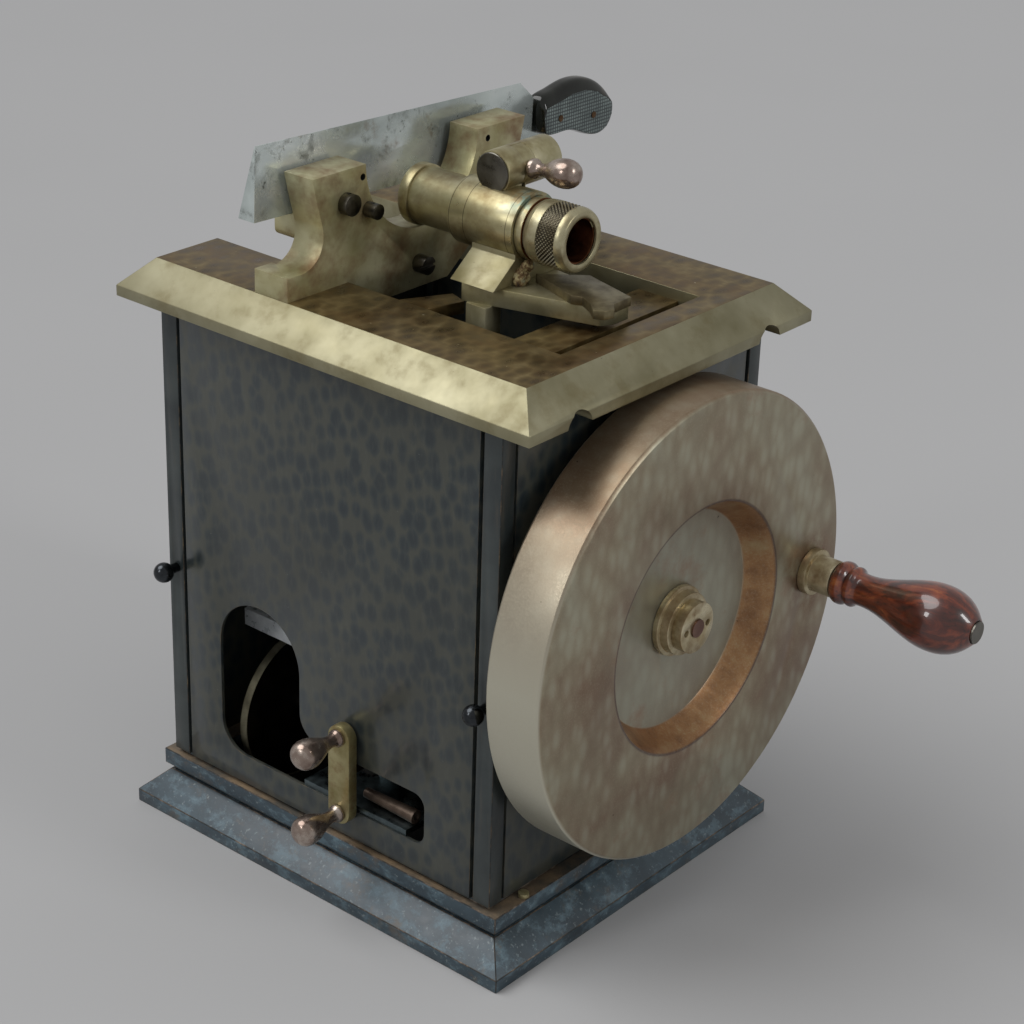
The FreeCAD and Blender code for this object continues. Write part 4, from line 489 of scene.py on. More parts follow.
def smooth_brass(name, light, dark, brown, rough, much, size, metal=0.8):
    """Draw-filed brass, dulled and blotched with age."""
    f = Finish(name, rough=rough, metal=metal)
    patches = f.cloud(size, detail=4, rough=0.55)
    colour = f.shades(patches, (0.3, dark), (0.7, light))
    stain = f.cloud(size * 0.8, detail=6, rough=0.62)
    colour = f.over(colour, brown, stain, low=much - 0.08, high=much + 0.16, most=0.8)
    specks = f.cloud(1.8, detail=2)
    colour = f.over(colour, "4b4330", specks, low=0.76, high=0.8, most=0.7)
    f.set("Base Color", colour)
    f.set("Roughness", f.between(stain, 0.35, 0.75, out_low=rough - 0.04, out_high=rough + 0.16))
    f.relief(f.cloud(0.9, detail=3), depth=0.012, strength=0.35)
    return f.material


SCRIBED = (3.6, 11.5, 34.6)
SCRIBED_CORE, SCRIBED_HALF = 0.1, 0.25


def barrel_metal():
    """Olive-brown barrel brass, greened with old grease near the nut."""
    f = Finish("barrel_metal", rough=0.3, metal=0.8)
    patches = f.cloud(13, detail=4, rough=0.6, place=f.laid(scale=(0.6, 1, 1)))
    colour = f.shades(patches, (0.3, "958a62"), (0.55, "b5ad88"), (0.75, "cbc4a4"))
    stain = f.cloud(17, detail=5, rough=0.6)
    colour = f.over(colour, "6f5a36", stain, low=0.5, high=0.68, most=0.7)
    green_x, full_green_x = 31.0, 37.0
    green_z, full_green_z = 306.0, 312.0
    near_nut = f.both(f.between(f.along("X"), green_x, full_green_x),
                      f.between(f.along("Z"), green_z, full_green_z))
    green = f.both(near_nut, f.between(f.cloud(5, detail=5), 0.44, 0.56))
    colour = f.blend(green, colour, "7f9486")
    for line in SCRIBED:
        near = f.band(f.along("X"), line - SCRIBED_HALF, line - SCRIBED_CORE,
                      line + SCRIBED_CORE, line + SCRIBED_HALF)
        colour = f.blend(f.times(near, 0.75), colour, "3a2f1c")
    f.set("Base Color", colour)
    f.set("Roughness", f.between(stain, 0.35, 0.75, out_low=0.26, out_high=0.44))
    f.relief(f.cloud(0.9, detail=3), depth=0.012, strength=0.35)
    return f.material


def rusty():
    """Dark brown rust with a few pale crumbs."""
    f = Finish("rusty", rough=0.75, metal=0.2)
    patches = f.cloud(3, detail=7, rough=0.75)
    colour = f.shades(patches, (0.35, "24160d"), (0.5, "4f3420"), (0.62, "7a5a3a"), (0.76, "b0a078"))
    f.set("Base Color", colour)
    f.relief(f.cloud(1.1, detail=6, rough=0.75), depth=0.35, strength=0.9)
    return f.material


def knurl_metal():
    """Worn brass tips of the knurl over dirty grooves."""
    f = Finish("knurl_metal", rough=0.3, metal=0.8)
    valley, tip = 13.5, 13.95
    out = f.ring_out(0, TUBE_Z)
    patches = f.cloud(7, detail=4)
    tips = f.shades(patches, (0.35, "8f8468"), (0.65, "c4bca0"))
    f.set("Base Color", f.blend(f.between(out, tip, valley), tips, "2b2418"))
    return f.material


def crust():
    """Brown and green corrosion that has grown between the pieces."""
    f = Finish("crust", rough=0.8)
    patches = f.cloud(3, detail=6, rough=0.7)
    colour = f.shades(patches, (0.32, "2a1e12"), (0.46, "6a5232"), (0.56, "a5976c"), (0.72, "cfc8a4"))
    green = f.cloud(6, detail=4)
    colour = f.over(colour, "6f8a80", green, low=0.56, high=0.64, most=0.8)
    f.set("Base Color", colour)
    f.relief(f.cloud(1.2, detail=5, rough=0.7), depth=0.4, strength=0.9)
    return f.material


def wheel_iron():
    """Bronze-brown iron with short slanting tool dabs, rusty in the dish, with a painted shade line round
    the dish's edge and a painted glint on the lower rim.
    """
    f = Finish("wheel_iron", rough=0.38, metal=0.8)
    floor_end = (48.6, 49.4)
    wall_end = (55.9, 56.3)
    dish_edge_shade_band = (55.6, 56.2, 56.6, 57.4)
    rim_start, rim_full = 103.0, 103.8
    glint_end_z, glint_full_z = 225.0, 150.0
    grip_brown_full, grip_brown_end = 11.0, 24.0
    out = f.ring_out(0, WHEEL_Z)
    patches = f.cloud(60, detail=4, rough=0.6)
    dabs = f.dapple(6.4, place=f.laid(scale=(1, 1.25, 0.6), turn=(-14, 0, 0)), random=0.9)
    fine = f.cloud(0.9, detail=4, rough=0.7)
    colour = f.shades(patches, (0.34, "8a7562"), (0.5, "9c927c"), (0.66, "a9a692"))
    colour = f.over(colour, "b9b9a6", dabs, low=0.55, high=0.1, most=0.28)
    colour = f.over(colour, "75634f", dabs, low=0.5, high=1.0, most=0.28)
    floor = f.between(out, *reversed(floor_end))
    colour = f.blend(f.times(floor, 0.5), colour, "9a9c90")
    wall = f.band(out, *floor_end, *wall_end)
    clots = f.cloud(14, detail=6, rough=0.65)
    rust = f.shades(clots, (0.3, "7c5a40"), (0.52, "a07a55"), (0.72, "b09a74"))
    colour = f.blend(wall, colour, rust)
    # Painted shade: a dark line round the dish's edge, where the face meets the wall.
    dish_edge_shade = f.band(out, *dish_edge_shade_band)
    colour = f.blend(f.times(dish_edge_shade, 0.7), colour, "4e3a3a")
    # Brown-red darkening in patches on the face round the grip's foot.
    grip_out = f.ring_out(GRIP_Y, GRIP_Z)
    brown_round_grip = f.both(f.between(grip_out, grip_brown_end, grip_brown_full), f.between(f.cloud(9, detail=5), 0.35, 0.6))
    colour = f.blend(f.times(brown_round_grip, 0.75), colour, "74503c")
    bloom = f.cloud(30, detail=6, rough=0.65)
    colour = f.over(colour, "8c5c40", bloom, low=0.56, high=0.7, most=0.45)
    rim = f.between(out, rim_start, rim_full)
    # Painted highlight: the rim turns pale in its lower part, a glint of light painted into its colour.
    back = f.both(rim, f.between(f.along("Z"), glint_end_z, glint_full_z))
    colour = f.blend(f.times(rim, 0.5), colour, "8a6a4e")
    colour = f.blend(back, colour, "c4c0ae")
    colour = f.over(colour, "c4bca6", fine, low=0.5, high=0.78, most=0.3)
    pits = f.cloud(3.2, detail=2)
    colour = f.over(colour, "3c2c24", pits, low=0.78, high=0.8, most=0.7)
    f.set("Base Color", colour)
    f.set("Roughness", f.between(fine, 0.3, 0.75, out_low=0.3, out_high=0.5))
    f.relief(fine, depth=0.04, strength=0.6)
    return f.material


def mahogany():
    """Dark red-brown wood under thick varnish."""
    f = Finish("mahogany", rough=0.3, coat=1.0, coat_rough=0.03)
    grain = f.cloud(7, detail=6, rough=0.6, place=f.laid(scale=(0.3, 1, 1)), warp=0.7)
    pores = f.cloud(1.3, detail=3, place=f.laid(scale=(0.15, 1, 1)))
    colour = f.shades(grain, (0.28, "220b06"), (0.46, "4c1a0c"), (0.6, "7c3518"), (0.74, "a8632e"))
    colour = f.over(colour, "170805", pores, low=0.55, high=0.72, most=0.7)
    f.set("Base Color", colour)
    f.relief(pores, depth=0.015, strength=0.3)
    return f.material


def knife_steel():
    """Polished blade steel with dark and brown stains."""
    f = Finish("knife_steel", rough=0.2, metal=0.6)
    patches = f.cloud(40, detail=4, rough=0.6, place=f.laid(scale=(1, 0.5, 1)))
    colour = f.shades(patches, (0.32, "a4adaa"), (0.5, "ccd5d2"), (0.7, "eef3f2"))
    stain = f.cloud(13, detail=8, rough=0.74, warp=0.3)
    colour = f.over(colour, "5d6059", stain, low=0.54, high=0.66, most=0.75)
    spots = f.cloud(2.4, detail=3, rough=0.6)
    spotted = f.both(f.between(spots, 0.66, 0.7), f.between(stain, 0.45, 0.55))
    colour = f.blend(f.times(spotted, 0.8), colour, "3a3d38")
    rust = f.cloud(22, detail=6, rough=0.7)
    colour = f.over(colour, "7a5f44", rust, low=0.6, high=0.72, most=0.7)
    f.set("Base Color", colour)
    f.set("Roughness", f.between(stain, 0.4, 0.7, out_low=0.14, out_high=0.42))
    f.relief(stain, depth=0.02, strength=0.4)
    return f.material


def horn():
    """Dark polished horn of the knife handle."""
    f = Finish("horn", rough=0.12)
    patches = f.cloud(14, detail=4)
    f.set("Base Color", f.shades(patches, (0.3, "0c0d0a"), (0.55, "1a1c17"), (0.75, "3d3324")))
    return f.material


def chequered_horn():
    """The flat side of the handle, cut with a fine square grid, its tops painted pale grey as a sheen of
    light.
    """
    f = Finish("chequered_horn", rough=0.4)
    grid_scale = 190
    waves = []
    for direction in ("Y", "Z"):
        wave = f.tree.nodes.new("ShaderNodeTexWave")
        wave.bands_direction = direction
        wave.inputs["Scale"].default_value = grid_scale
        f.join(f.place, wave.inputs["Vector"])
        waves.append(wave.outputs["Fac"])
    grid = f.times(waves[0], waves[1])
    patches = f.cloud(10, detail=3)
    # Painted highlight: the chequer's tops are pale grey for a silvery sheen; the grooves keep the horn's
    # near black.
    colour = f.shades(patches, (0.3, "56615f"), (0.7, "808d8a"))
    f.set("Base Color", f.blend(f.between(grid, 0.0, 0.45, out_low=0.85, out_high=0.0), colour, "20262a"))
    f.relief(grid, depth=0.15, strength=0.8)
    return f.material


def plum_metal():
    """Brown patinated metal, polished by the hand."""
    f = Finish("plum_metal", rough=0.2, metal=0.85)
    patches = f.cloud(7, detail=4, rough=0.6)
    f.set("Base Color", f.shades(patches, (0.3, "7c695f"), (0.5, "9c8b80"), (0.72, "c6bbb0")))
    f.set("Roughness", f.between(patches, 0.3, 0.7, out_low=0.16, out_high=0.34))
    return f.material


def plain_metal(name, dark, light, rough, metal=1.0):
    """One metal in two shades that run into each other."""
    f = Finish(name, rough=rough, metal=metal)
    patches = f.cloud(8, detail=5, rough=0.62)
    f.set("Base Color", f.shades(patches, (0.3, dark), (0.7, light)))
    f.set("Roughness", f.between(patches, 0.3, 0.7, out_low=rough - 0.08, out_high=rough + 0.12))
    f.relief(f.cloud(1.2, detail=3), depth=0.02, strength=0.3)
    return f.material


panel_finish = spotted_panel()
post_finish = post_black()
edge_finish = bare_edge()
base_finish = base_black()
base_edge_finish = worn_base_edge()
ledge_finish = worn_ledge()
spotted_finish = plate_top_brass()
plate_finish = smooth_brass("plate_brass", "a09b80", "817b5e", "746846", rough=0.42, much=0.58, size=26)
stand_finish = smooth_brass("stand_brass", "c6c19c", "a0986c", "7a5a3a", rough=0.34, much=0.52, size=20,
                            metal=0.6)
barrel_finish = barrel_metal()
block_finish = smooth_brass("block_brass", "aaa488", "8c8460", "7f7350", rough=0.44, much=0.6, size=14)
pointer_finish = smooth_brass("pointer_brass", "8f8668", "6a5f44", "4c4230", rough=0.36, much=0.52, size=12)
nut_finish = smooth_brass("nut_brass", "c4bd9c", "9a9170", "7a6747", rough=0.28, much=0.6, size=10)
knurl_finish = knurl_metal()
hub_finish = smooth_brass("hub_brass", "cdc3a4", "a08f6c", "7d6444", rough=0.3, much=0.55, size=9)
bar_finish = smooth_brass("bar_brass", "b3a980", "8f8457", "7a5c34", rough=0.36, much=0.58, size=9)
wheel_finish = wheel_iron()
grip_finish = mahogany()
blade_finish = knife_steel()
horn_finish = horn()
chequer_finish = chequered_horn()
plum_finish = plum_metal()
crust_finish = crust()
rust_finish = rusty()
brown_brass = plain_metal("brown_brass", dark="4a3524", light="7c6146", rough=0.38)
screw_finish = plain_metal("screw_steel", dark="3a3936", light="6b675e", rough=0.34)
disc_finish = plain_metal("disc_grey", dark="57544e", light="7d7a72", rough=0.3)
bright_finish = plain_metal("bright_steel", dark="9b9d9e", light="cfd1d1", rough=0.22)
shaft_finish = plain_metal("shaft_brown", dark="5b4038", light="84685c", rough=0.36)
iron_finish = plain_metal("dark_iron", dark="191918", light="34322f", rough=0.42)
knob_finish = plain_metal("knob_black", dark="232528", light="4a4d50", rough=0.16)
bore_finish = plain_metal("copper_bore", dark="4a2c1c", light="8a5a3c", rough=0.4)
gear_finish = plain_metal("gear_metal", dark="6f6a56", light="a39e86", rough=0.4, metal=0.7)
# Near white with little metal: a painted highlight on the lit end of the slide frame's tie bar.
tie_highlight_finish = plain_metal("tie_painted_highlight", dark="c4cbcf", light="f0f4f5", rough=0.3, metal=0.3)
gear_face_finish = plain_metal("gear_face", dark="1d1a15", light="332e24", rough=0.5)
bracket_finish = plain_metal("bracket_steel", dark="414a4c", light="6b777a", rough=0.3)
spindle_finish = plain_metal("spindle_brown", dark="4a3c32", light="75665a", rough=0.42, metal=0.7)
# Near black: painted shade for the insides of holes and for the board deep in the box.
painted_shade_finish = plain_metal("inside_painted_shade", dark="0f1011", light="1c1d1e", rough=0.6, metal=0.0)

# Solids that are shown as they are, in their real finish; the base board deep in the box gets near black as
# painted shade
KEPT = {
    "guide_rod_front": iron_finish, "guide_rod_rear": iron_finish,
    "feed_rack": iron_finish, "feed_screw": bright_finish, "main_shaft": shaft_finish,
    "reset_pinion": iron_finish, "grip_spindle": disc_finish, "crank_disc": iron_finish,
    "feed_carriage": brown_brass, "main_bearing": brown_brass, "base_board": painted_shade_finish,
}
for node, finish in KEPT.items():
    for spot in frame["nodes"][node].material_slots:
        spot.material = finish

# How far the edges are rounded, in millimetres
CRISP, KEEN, SLIGHT, PLAIN, EASY, SOFT, WORN = 0.1, 0.15, 0.2, 0.3, 0.35, 0.4, 0.5

# Base
UPWARD, LEVEL = 0.9, 0.99
for side in ("front", "rear", "left", "right"):
    eased("base_rail_" + side, EASY, base_finish, base_edge_finish, wear_slot=1)
eased("base_step", SOFT, base_finish, base_edge_finish, ledge_finish, wear_slot=1,
      faces=lambda place, normal: 2 if normal.z > UPWARD else 0)
for side in ("front", "rear"):
    eased("base_screw_" + side, SLIGHT, stand_finish)

# Cabinet
for corner in ("front_left", "front_right", "rear_left", "rear_right"):
    eased("corner_post_" + corner, EASY, post_finish, edge_finish, wear_slot=1)
for panel in ("front_panel", "rear_panel", "side_panel_drive", "side_panel_plain"):
    eased(panel, SLIGHT, panel_finish, edge_finish, wear_slot=1)
for side in ("left", "right"):
    eased("panel_knob_" + side, CRISP, knob_finish)

# Top plate
PLATE_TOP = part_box("top_plate")[1].z / MM
PLATE_SKIN = 0.1
eased("top_plate", PLAIN, plate_finish, spotted_finish,
      faces=lambda place, normal: 1 if normal.z > LEVEL and place.z > PLATE_TOP - PLATE_SKIN else 0)
for side in ("straight", "slanted"):
    eased("ledge_" + side, PLAIN, spotted_finish)


# Knife group
def drill(piece, place, radius, depth):
    """Bores a blind hole along X, its inside painted near black as shade."""
    bpy.ops.object.select_all(action="DESELECT")
    bpy.ops.mesh.primitive_cylinder_add(vertices=32, radius=radius * MM, depth=depth * 2 * MM,
                                        location=Vector(place) * MM, rotation=TURN["X"])
    cutter = added("drill")
    cover(cutter, painted_shade_finish)
    hole = piece.modifiers.new("hole", "BOOLEAN")
    hole.object = cutter
    hole.solver = "EXACT"
    hole.material_mode = "TRANSFER"
    apply_all(piece)
    pick(cutter)
    bpy.ops.object.delete()


FLANK_OUT, FLANK_LOW, FLANK_HIGH = 59, PLATE_TOP + 11, PLATE_TOP + 43
FLANK_BEND, FLANK_ROUNDS = 3.3, 6
HOLE_X, HOLE_Z, HOLE_RADIUS, HOLE_DEPTH = -24.5, 314.2, 1.5, 3.0


def on_flank(place):
    """Whether a corner lies in the curved flanks of the knife stand."""
    return abs(place.y) > FLANK_OUT and FLANK_LOW < place.z < FLANK_HIGH


stand = eased("knife_stand", SOFT, stand_finish, bend=(FLANK_BEND, FLANK_ROUNDS, on_flank))
for hole_y in (-37.3, 42.1):
    drill(stand, (HOLE_X, hole_y, HOLE_Z), HOLE_RADIUS, HOLE_DEPTH)
for screw in ("stand_screw", "knife_screw_large", "knife_screw_small"):
    eased(screw, PLAIN, screw_finish)
eased("knife_blade", KEEN, blade_finish)
for number in ("1", "2"):
    eased("knife_pin_" + number, KEEN, brown_brass)


def knife_grip():
    """Horn scales of the knife: a crowned back, a flat chequered side and a hooked butt."""
    low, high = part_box("knife_handle")
    line = [(97.2, 299.2), (97.2, 309.0), (97.4, 318.6), (107.0, 319.0), (117.0, 322.0),
            (128.0, 322.0), (137.1, 319.4), (145.0, 314.0), (149.5, 307.2), (149.4, 300.5),
            (146.2, 294.3), (137.5, 291.5), (127.5, 295.0), (118.0, 299.6), (107.0, 299.2)]
    slices = (0.2, 0.3, 0.3, 0.2)
    back_from, back_drop = 312.5 * MM, 4.6 * MM
    side_centre, side_scale, side_crease = (0, 123 * MM, 306 * MM), (1, 0.97, 0.93), 0.8
    finer_steps = 3
    bpy.ops.object.select_all(action="DESELECT")
    bpy.ops.mesh.primitive_circle_add(vertices=len(line), fill_type="NGON")
    piece = added("knife_handle_horn")
    for corner, (y, z) in zip(piece.data.vertices, line):
        corner.co = (low.x, y * MM, z * MM)
    across_width = high.x - low.x
    open_mesh()
    bpy.ops.mesh.select_all(action="SELECT")
    for share in slices:
        bpy.ops.mesh.extrude_region_move(TRANSFORM_OT_translate={"value": (across_width * share, 0, 0)})

    def on_side(point):
        return min(abs(point.co.x - low.x), abs(point.co.x - high.x)) < NEAR

    choose(piece, "verts", lambda point: on_side(point) and point.co.z > back_from)
    bpy.ops.transform.translate(value=(0, 0, -back_drop))
    choose(piece, "verts", on_side)
    bpy.ops.transform.resize(value=side_scale, center_override=side_centre)
    choose(piece, "edges", lambda edge: all(on_side(point) for point in edge.verts))
    bpy.ops.transform.edge_crease(value=side_crease)
    bpy.ops.mesh.select_all(action="SELECT")
    bpy.ops.mesh.normals_make_consistent(inside=False)
    close_mesh()
    cover(piece, horn_finish, chequer_finish)
    for face in piece.data.polygons:
        face.material_index = 1 if len(face.vertices) == len(line) else 0
    finer = piece.modifiers.new("finer", "SUBSURF")
    finer.levels = finer_steps
    finer.render_levels = finer_steps
    apply_all(piece)
    bpy.ops.object.shade_smooth()
    fit(piece, "knife_handle")


knife_grip()

# Holder group
BARREL_END, BARREL_TOP, BORE = 38.1, 314, 9.6
eased("holder_bracket", PLAIN, block_finish)
eased("holder_block", PLAIN, block_finish)
eased("pointer_plate", EASY, pointer_finish)
eased("clamp_body", EASY, barrel_finish, brown_brass,
      faces=lambda place, normal: 1 if place.x > BARREL_END and place.z < BARREL_TOP else 0)
eased("clamp_bolt", PLAIN, disc_finish)
eased("object_tube", SLIGHT, barrel_finish, bore_finish,
      faces=lambda place, normal: 1 if math.hypot(place.y, place.z - TUBE_Z) < BORE else 0)
eased("tube_ring", SOFT, barrel_finish)

collar = turned("rusty_collar", "X", (0, 0, TUBE_Z), [
    (38.1, 11.2), (38.1, 12.7), (38.8, 13.15), (40.0, 13.0),
    (41.3, 13.1), (42.0, 12.5), (42.0, 11.2), (38.1, 11.2),
], rust_finish, closed=True)
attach(collar, "holder")
bolt_face = turned("bolt_face", "Y", (BOLT_X, 0, BOLT_Z), [
    (-4.95, 8.0), (-5.2, 8.55), (-5.5, 8.55), (-5.8, 8.2), (-5.85, 7.6),
], disc_finish)
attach(bolt_face, "clamp_lever")

HANDLE_STEPS = 48


def clamp_handle():
    """Lever of the clamp: a ring round the bolt, a small flange, a thin neck and an egg-shaped knob."""
    low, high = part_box("clamp_lever")
    side = (low.y + high.y) / 2 / MM
    tilt = math.radians(5.4)
    rings = [(8.8, 2.2), (9.4, 3.6), (10.0, 4.2), (11.6, 4.3), (12.4, 3.9), (13.0, 3.2), (14.0, 2.75),
             (15.4, 2.65), (17.0, 2.8), (18.4, 3.3), (19.8, 4.1), (21.6, 5.0), (23.6, 5.75), (25.8, 6.2),
             (28.0, 6.3), (30.0, 6.1), (31.8, 5.5), (33.2, 4.6), (34.2, 3.3), (34.7, 1.8), (34.8, 0.8)]
    piece = turned("clamp_lever_turned", "X", (0, 0, 0), rings, plum_finish, steps=HANDLE_STEPS)
    piece.location = Vector((BOLT_X, side, BOLT_Z)) * MM
    piece.rotation_euler = (0, -tilt, 0)
    settle(piece)
    half, inner, outer = 3.6, 7.2, 9.1
    ring = turned("lever_collar", "Y", (BOLT_X, side, BOLT_Z),
                  [(-half, inner), (-half, outer), (half, outer), (half, inner), (-half, inner)],
                  barrel_finish, closed=True)
    join_to(piece, ring)
    fit(piece, "clamp_lever")


clamp_handle()


def knurled():
    """Nut of the holder: a plain rounded shoulder, a diamond knurl and a flat ring at the end."""
    plain = [(42.3, 11.2), (42.3, 12.6), (43.4, 13.3), (44.8, 13.75), (45.0, 13.55), (45.2, 13.8),
             (47.5, 14.0), (50.0, 14.05), (50.2, 13.2), (59.6, 13.2), (59.8, 14.0), (60.8, 13.95),
             (61.8, 13.7), (62.9, 13.2), (63.4, 12.8), (63.5, 12.5), (63.5, 10.2), (63.3, 9.9),
             (62.5, 9.7), (62.5, 11.15), (42.3, 11.2)]
    nut = turned("nut_turned", "X", (0, 0, TUBE_Z), plain, nut_finish, closed=True)
    columns, rows = 192, 22
    start, reach, valley, near_valley = 50.15, 9.5, 13.3, 0.05
    tip_growth, slope_growth = 1.062, 1.031
    tips = ((0, 0), (2, 2), (4, 0), (0, 4), (4, 4))
    repeat = 4
    band = turned("nut_knurl", "X", (0, 0, TUBE_Z),
                  [(start + reach * row / (rows - 1), valley) for row in range(rows)],
                  knurl_finish, steps=columns)

    def in_valley(point):
        out = math.hypot(point.co.y, point.co.z - TUBE_Z * MM)
        return abs(out - valley * MM) < near_valley * MM

    def from_tip(point):
        """Steps from this point of the grid to the nearest diamond's tip."""
        turn = math.atan2(point.co.y, point.co.z - TUBE_Z * MM)
        column = round(turn / (2 * math.pi / columns)) % repeat
        row = round((point.co.x / MM - start) / (reach / (rows - 1))) % repeat
        return min(abs(column - across) + abs(row - along) for across, along in tips)

    open_mesh()
    for steps, growth in enumerate((tip_growth, slope_growth)):
        choose(band, "verts", lambda point: in_valley(point) and from_tip(point) == steps)
        bpy.ops.transform.resize(value=(1, growth, growth), center_override=(0, 0, TUBE_Z * MM))
    choose(band, "faces", lambda face: len(face.verts) > 4)
    bpy.ops.mesh.delete(type="ONLY_FACE")
    close_mesh()
    bpy.ops.object.shade_flat()
    join_to(nut, band)
    fit(nut, "knurled_nut")


knurled()


def crust_lump(name, place, size, level):
    """A rough lump of corrosion, its bumps pushed in and out from this level of the pattern."""
    bpy.ops.object.select_all(action="DESELECT")
    bpy.ops.mesh.primitive_ico_sphere_add(subdivisions=4, radius=1.0, location=Vector(place) * MM)
    piece = added(name)
    piece.scale = Vector(size) * MM
    settle(piece)
    for scale, strength in ((3.2, 2.2), (1.1, 0.9)):
        pattern = bpy.data.textures.new(name, "CLOUDS")
        pattern.noise_scale = scale * MM
        bump = piece.modifiers.new("rough", "DISPLACE")
        bump.texture = pattern
        bump.texture_coords = "GLOBAL"
        bump.mid_level = level
        bump.strength = strength * MM
    apply_all(piece)
    cover(piece, crust_finish)
    bpy.ops.object.shade_smooth()
    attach(piece, "holder")


crust_lump("crust_low", (39.3, -9.0, 279.0), (3.2, 4.6, 4.4), 0.47)
crust_lump("crust_high", (40.0, -6.0, 283.4), (2.6, 3.4, 2.6), 0.49)

# Drive
eased("flywheel", PLAIN, wheel_finish)
eased("hub_flange", SOFT, hub_finish)
eased("hub_nut", SOFT, hub_finish)
eased("handle_ferrule", WORN, hub_finish)
wood = turned("wood_grip_turned", "X", (0, GRIP_Y, GRIP_Z), [
    (149.7, 7.4), (150.0, 8.5), (150.8, 9.3), (152.0, 9.8), (153.2, 9.9), (154.4, 9.7), (155.4, 9.1),
    (156.0, 8.3), (156.3, 8.0), (156.7, 8.2), (157.3, 8.8), (158.2, 9.1), (159.2, 9.1), (160.0, 8.7),
    (160.6, 8.0), (161.4, 7.5), (163.0, 7.3), (166.0, 7.35), (169.5, 7.75), (173.0, 8.5), (177.0, 9.6),
    (181.0, 10.85), (185.0, 12.15), (189.0, 13.35), (193.0, 14.35), (196.0, 14.85), (199.0, 15.1),
    (202.0, 15.1), (205.0, 14.8), (208.0, 14.1), (211.0, 12.9), (213.5, 11.4), (215.8, 9.5),
    (217.6, 7.6), (218.8, 6.2), (219.2, 5.7), (219.25, 5.3), (218.2, 5.2),
], grip_finish)
bpy.ops.object.shade_smooth()
fit(wood, "wood_grip")


def fine_wheel():
    """Feed wheel with very fine teeth."""
    teeth, tooth_root, root_scale, face_out = 300, 37.2, 0.978, 30
    axis = Vector((0, FEED_Y, FEED_Z))
    rings = [(-60.6, 36.4), (-61, 36.9), (-61, 37.45), (-57, 37.45), (-57, 36.9), (-57.4, 36.4)]
    piece = turned("toothed_wheel_fine", "X", axis, rings, gear_finish, gear_face_finish,
                   steps=teeth * 2,
                   finish_of=lambda place: 1 if (place - axis).yz.length < face_out else 0)
    open_mesh()

    def between_teeth(point):
        y = point.co.y / MM - axis.y
        z = point.co.z / MM - axis.z
        step = round(math.atan2(y, z) / (math.pi / teeth))
        return math.hypot(y, z) > tooth_root and step % 2 == 0

    choose(piece, "verts", between_teeth)
    bpy.ops.transform.resize(value=(1, root_scale, root_scale), center_override=axis * MM)
    close_mesh()
    fit(piece, "toothed_wheel")


fine_wheel()
# The tie bar's end on the slide frame gets the painted highlight, the rest stays dark iron.
TIE_OUT, TIE_LOW = -54, 92.5
eased("slide_frame", SLIGHT, iron_finish, tie_highlight_finish,
      faces=lambda place, normal: 1 if place.y < TIE_OUT and place.z > TIE_LOW else 0)

# Winding crank
eased("crank_bar", WORN, bar_finish)
eased("crank_bracket", SLIGHT, bracket_finish)
eased("tapered_spindle", SLIGHT, spindle_finish)


def pear(name, node):
    """Pear-shaped handle: a collar, a thin neck and an egg-shaped end."""
    low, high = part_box(node)
    x = (low.x + high.x) / 2 / MM
    z = (low.z + high.z) / 2 / MM
    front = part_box("crank_bar")[0].y / MM
    rings = [(0.0, 3.3), (-0.2, 3.9), (-0.8, 4.15), (-1.5, 4.0), (-2.0, 3.4), (-2.8, 2.95),
             (-4.2, 2.8), (-5.8, 3.0), (-7.4, 3.6), (-9.0, 4.45), (-10.8, 5.4), (-12.6, 6.2),
             (-14.4, 6.65), (-16.2, 6.75), (-17.8, 6.4), (-19.0, 5.6), (-19.9, 4.4), (-20.35, 2.8),
             (-20.5, 1.2)]
    end_place = rings[-1][0]
    stretch = (low.y / MM - front) / end_place
    piece = turned(name, "Y", (x, 0, z),
                   [(front + place * stretch, radius) for place, radius in rings],
                   plum_finish, steps=HANDLE_STEPS)
    bpy.ops.object.shade_smooth()
    fit(piece, node)


pear("pear_upper", "crank_handle_upper")
pear("pear_lower", "crank_handle_lower")

# Floor and light
GREY = "a9a9a9"
FLOOR_SIZE = 24.0


def floor_finish():
    """Even grey with no shine, like the backdrop."""
    f = Finish("floor_grey", rough=0.9)
    f.set("Base Color", f.shades(f.cloud(400, detail=2), (0.4, GREY), (0.6, "aaaaaa")))
    f.shader.inputs["Specular IOR Level"].default_value = 0.0
    return f.material


bpy.ops.object.select_all(action="DESELECT")
bpy.ops.mesh.primitive_plane_add(size=FLOOR_SIZE, location=(0, 0, 0))
floor = added("floor")
cover(floor, floor_finish())


def sky(light):
    """Even light all round, with the backdrop's grey where the camera or a shiny surface sees it."""
    coolness = 1.02
    world = bpy.data.worlds.new("studio")
    bpy.context.scene.world = world
    world.use_nodes = True
    nodes, links = world.node_tree.nodes, world.node_tree.links
    nodes.clear()
    seen = nodes.new("ShaderNodeBackground")
    seen.inputs["Color"].default_value = tint(GREY)
    even = nodes.new("ShaderNodeBackground")
    even.inputs["Color"].default_value = (light, light, light * coolness, 1)
    path = nodes.new("ShaderNodeLightPath")
    sight = path.outputs["Is Camera Ray"]
    for ray in ("Is Glossy Ray", "Is Transmission Ray"):
        either = nodes.new("ShaderNodeMath")
        either.operation = "MAXIMUM"
        links.new(sight, either.inputs[0])
        links.new(path.outputs[ray], either.inputs[1])
        sight = either.outputs[0]
    mix = nodes.new("ShaderNodeMixShader")
    links.new(sight, mix.inputs["Fac"])
    links.new(even.outputs[0], mix.inputs[1])
    links.new(seen.outputs[0], mix.inputs[2])
    out = nodes.new("ShaderNodeOutputWorld")
    links.new(mix.outputs[0], out.inputs["Surface"])


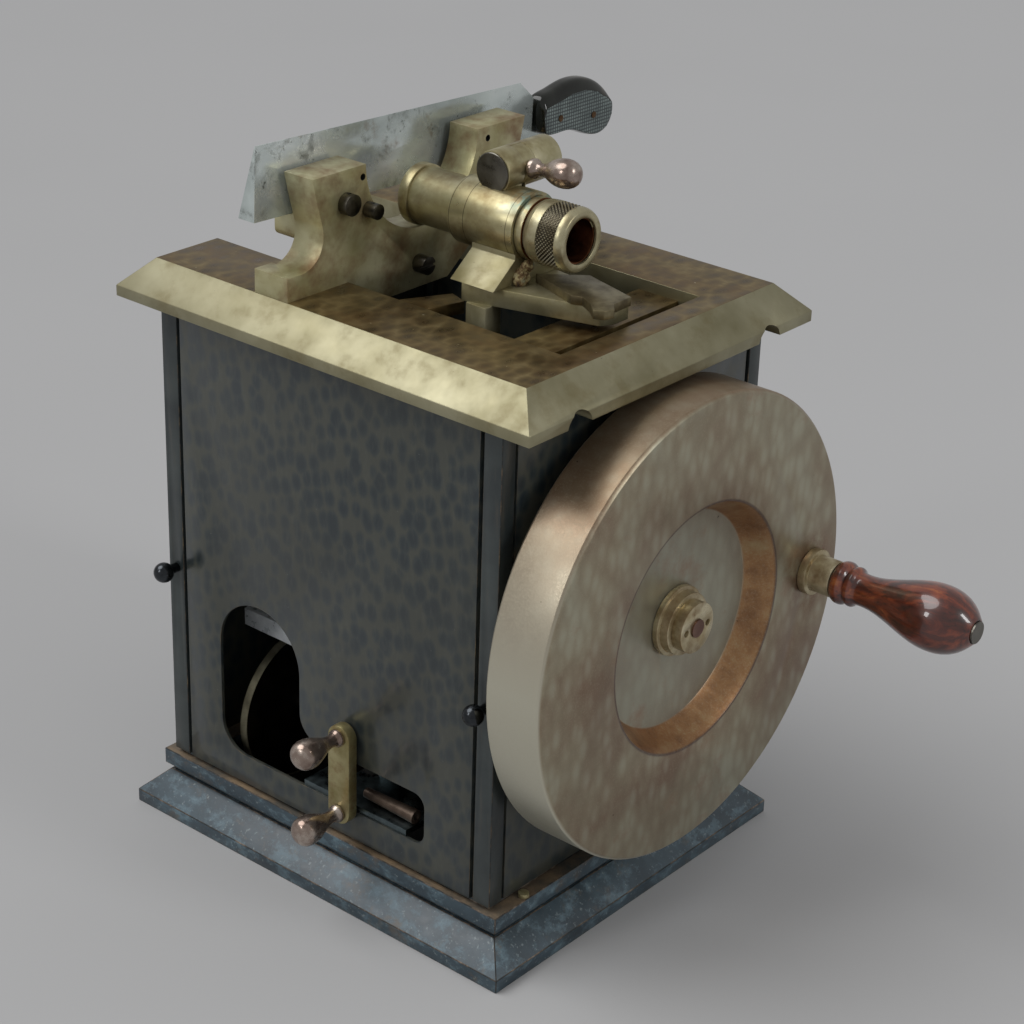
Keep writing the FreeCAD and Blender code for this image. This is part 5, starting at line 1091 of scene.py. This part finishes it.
def lamp(name, kind, place, aim, power, size):
    """A white lamp: a sun with its width as an angle, or a lit rectangle with its two sides."""
    light = bpy.data.lights.new(name, kind)
    light.energy = power
    if kind == "SUN":
        light.angle = size
    else:
        light.shape = "RECTANGLE"
        light.size, light.size_y = size
    holder = bpy.data.objects.new(name, light)
    bpy.context.scene.collection.objects.link(holder)
    holder.location = place
    holder.rotation_euler = (Vector(aim) - Vector(place)).to_track_quat("-Z", "Y").to_euler()


sky(light=0.52)
lamp("key", "SUN", place=(-1.05, -0.75, 2.0), aim=(0, 0, 0.15), power=1.45, size=0.75)
lamp("window", "AREA", place=(-0.5, -1.7, 1.1), aim=(0.05, 0, 0.2), power=4.0, size=(0.3, 0.5))
lamp("side", "AREA", place=(1.6, 0.2, 1.2), aim=(0.1, 0, 0.15), power=5.5, size=(0.3, 0.6))

# Camera, where the photograph was taken from
AZIMUTH, ELEVATION, ROLL = math.radians(39.69), math.radians(25.47), math.radians(1.85)
SENSOR = 36.0
FOCAL_PIXELS, PHOTO_WIDTH = 2456.42, 1024
EYE = Vector((654.49, -751.20, 630.16)) * MM
NEAREST, FARTHEST = 0.01, 100.0
back = Vector((math.sin(AZIMUTH) * math.cos(ELEVATION), -math.cos(AZIMUTH) * math.cos(ELEVATION),
               math.sin(ELEVATION)))
right = (-back).cross(Vector((0, 0, 1))).normalized()
up = right.cross(-back)
across = right * math.cos(ROLL) + up * math.sin(ROLL)
upright = up * math.cos(ROLL) - right * math.sin(ROLL)
lens = bpy.data.cameras.new("camera")
lens.lens = SENSOR * FOCAL_PIXELS / PHOTO_WIDTH
lens.sensor_width = SENSOR
lens.clip_start = NEAREST
lens.clip_end = FARTHEST
camera = bpy.data.objects.new("camera", lens)
bpy.context.scene.collection.objects.link(camera)
camera.matrix_world = Matrix((
    (across.x, upright.x, back.x, EYE.x),
    (across.y, upright.y, back.y, EYE.y),
    (across.z, upright.z, back.z, EYE.z),
    (0, 0, 0, 1),
))
bpy.context.scene.camera = camera
bpy.context.scene.view_settings.view_transform = "Standard"
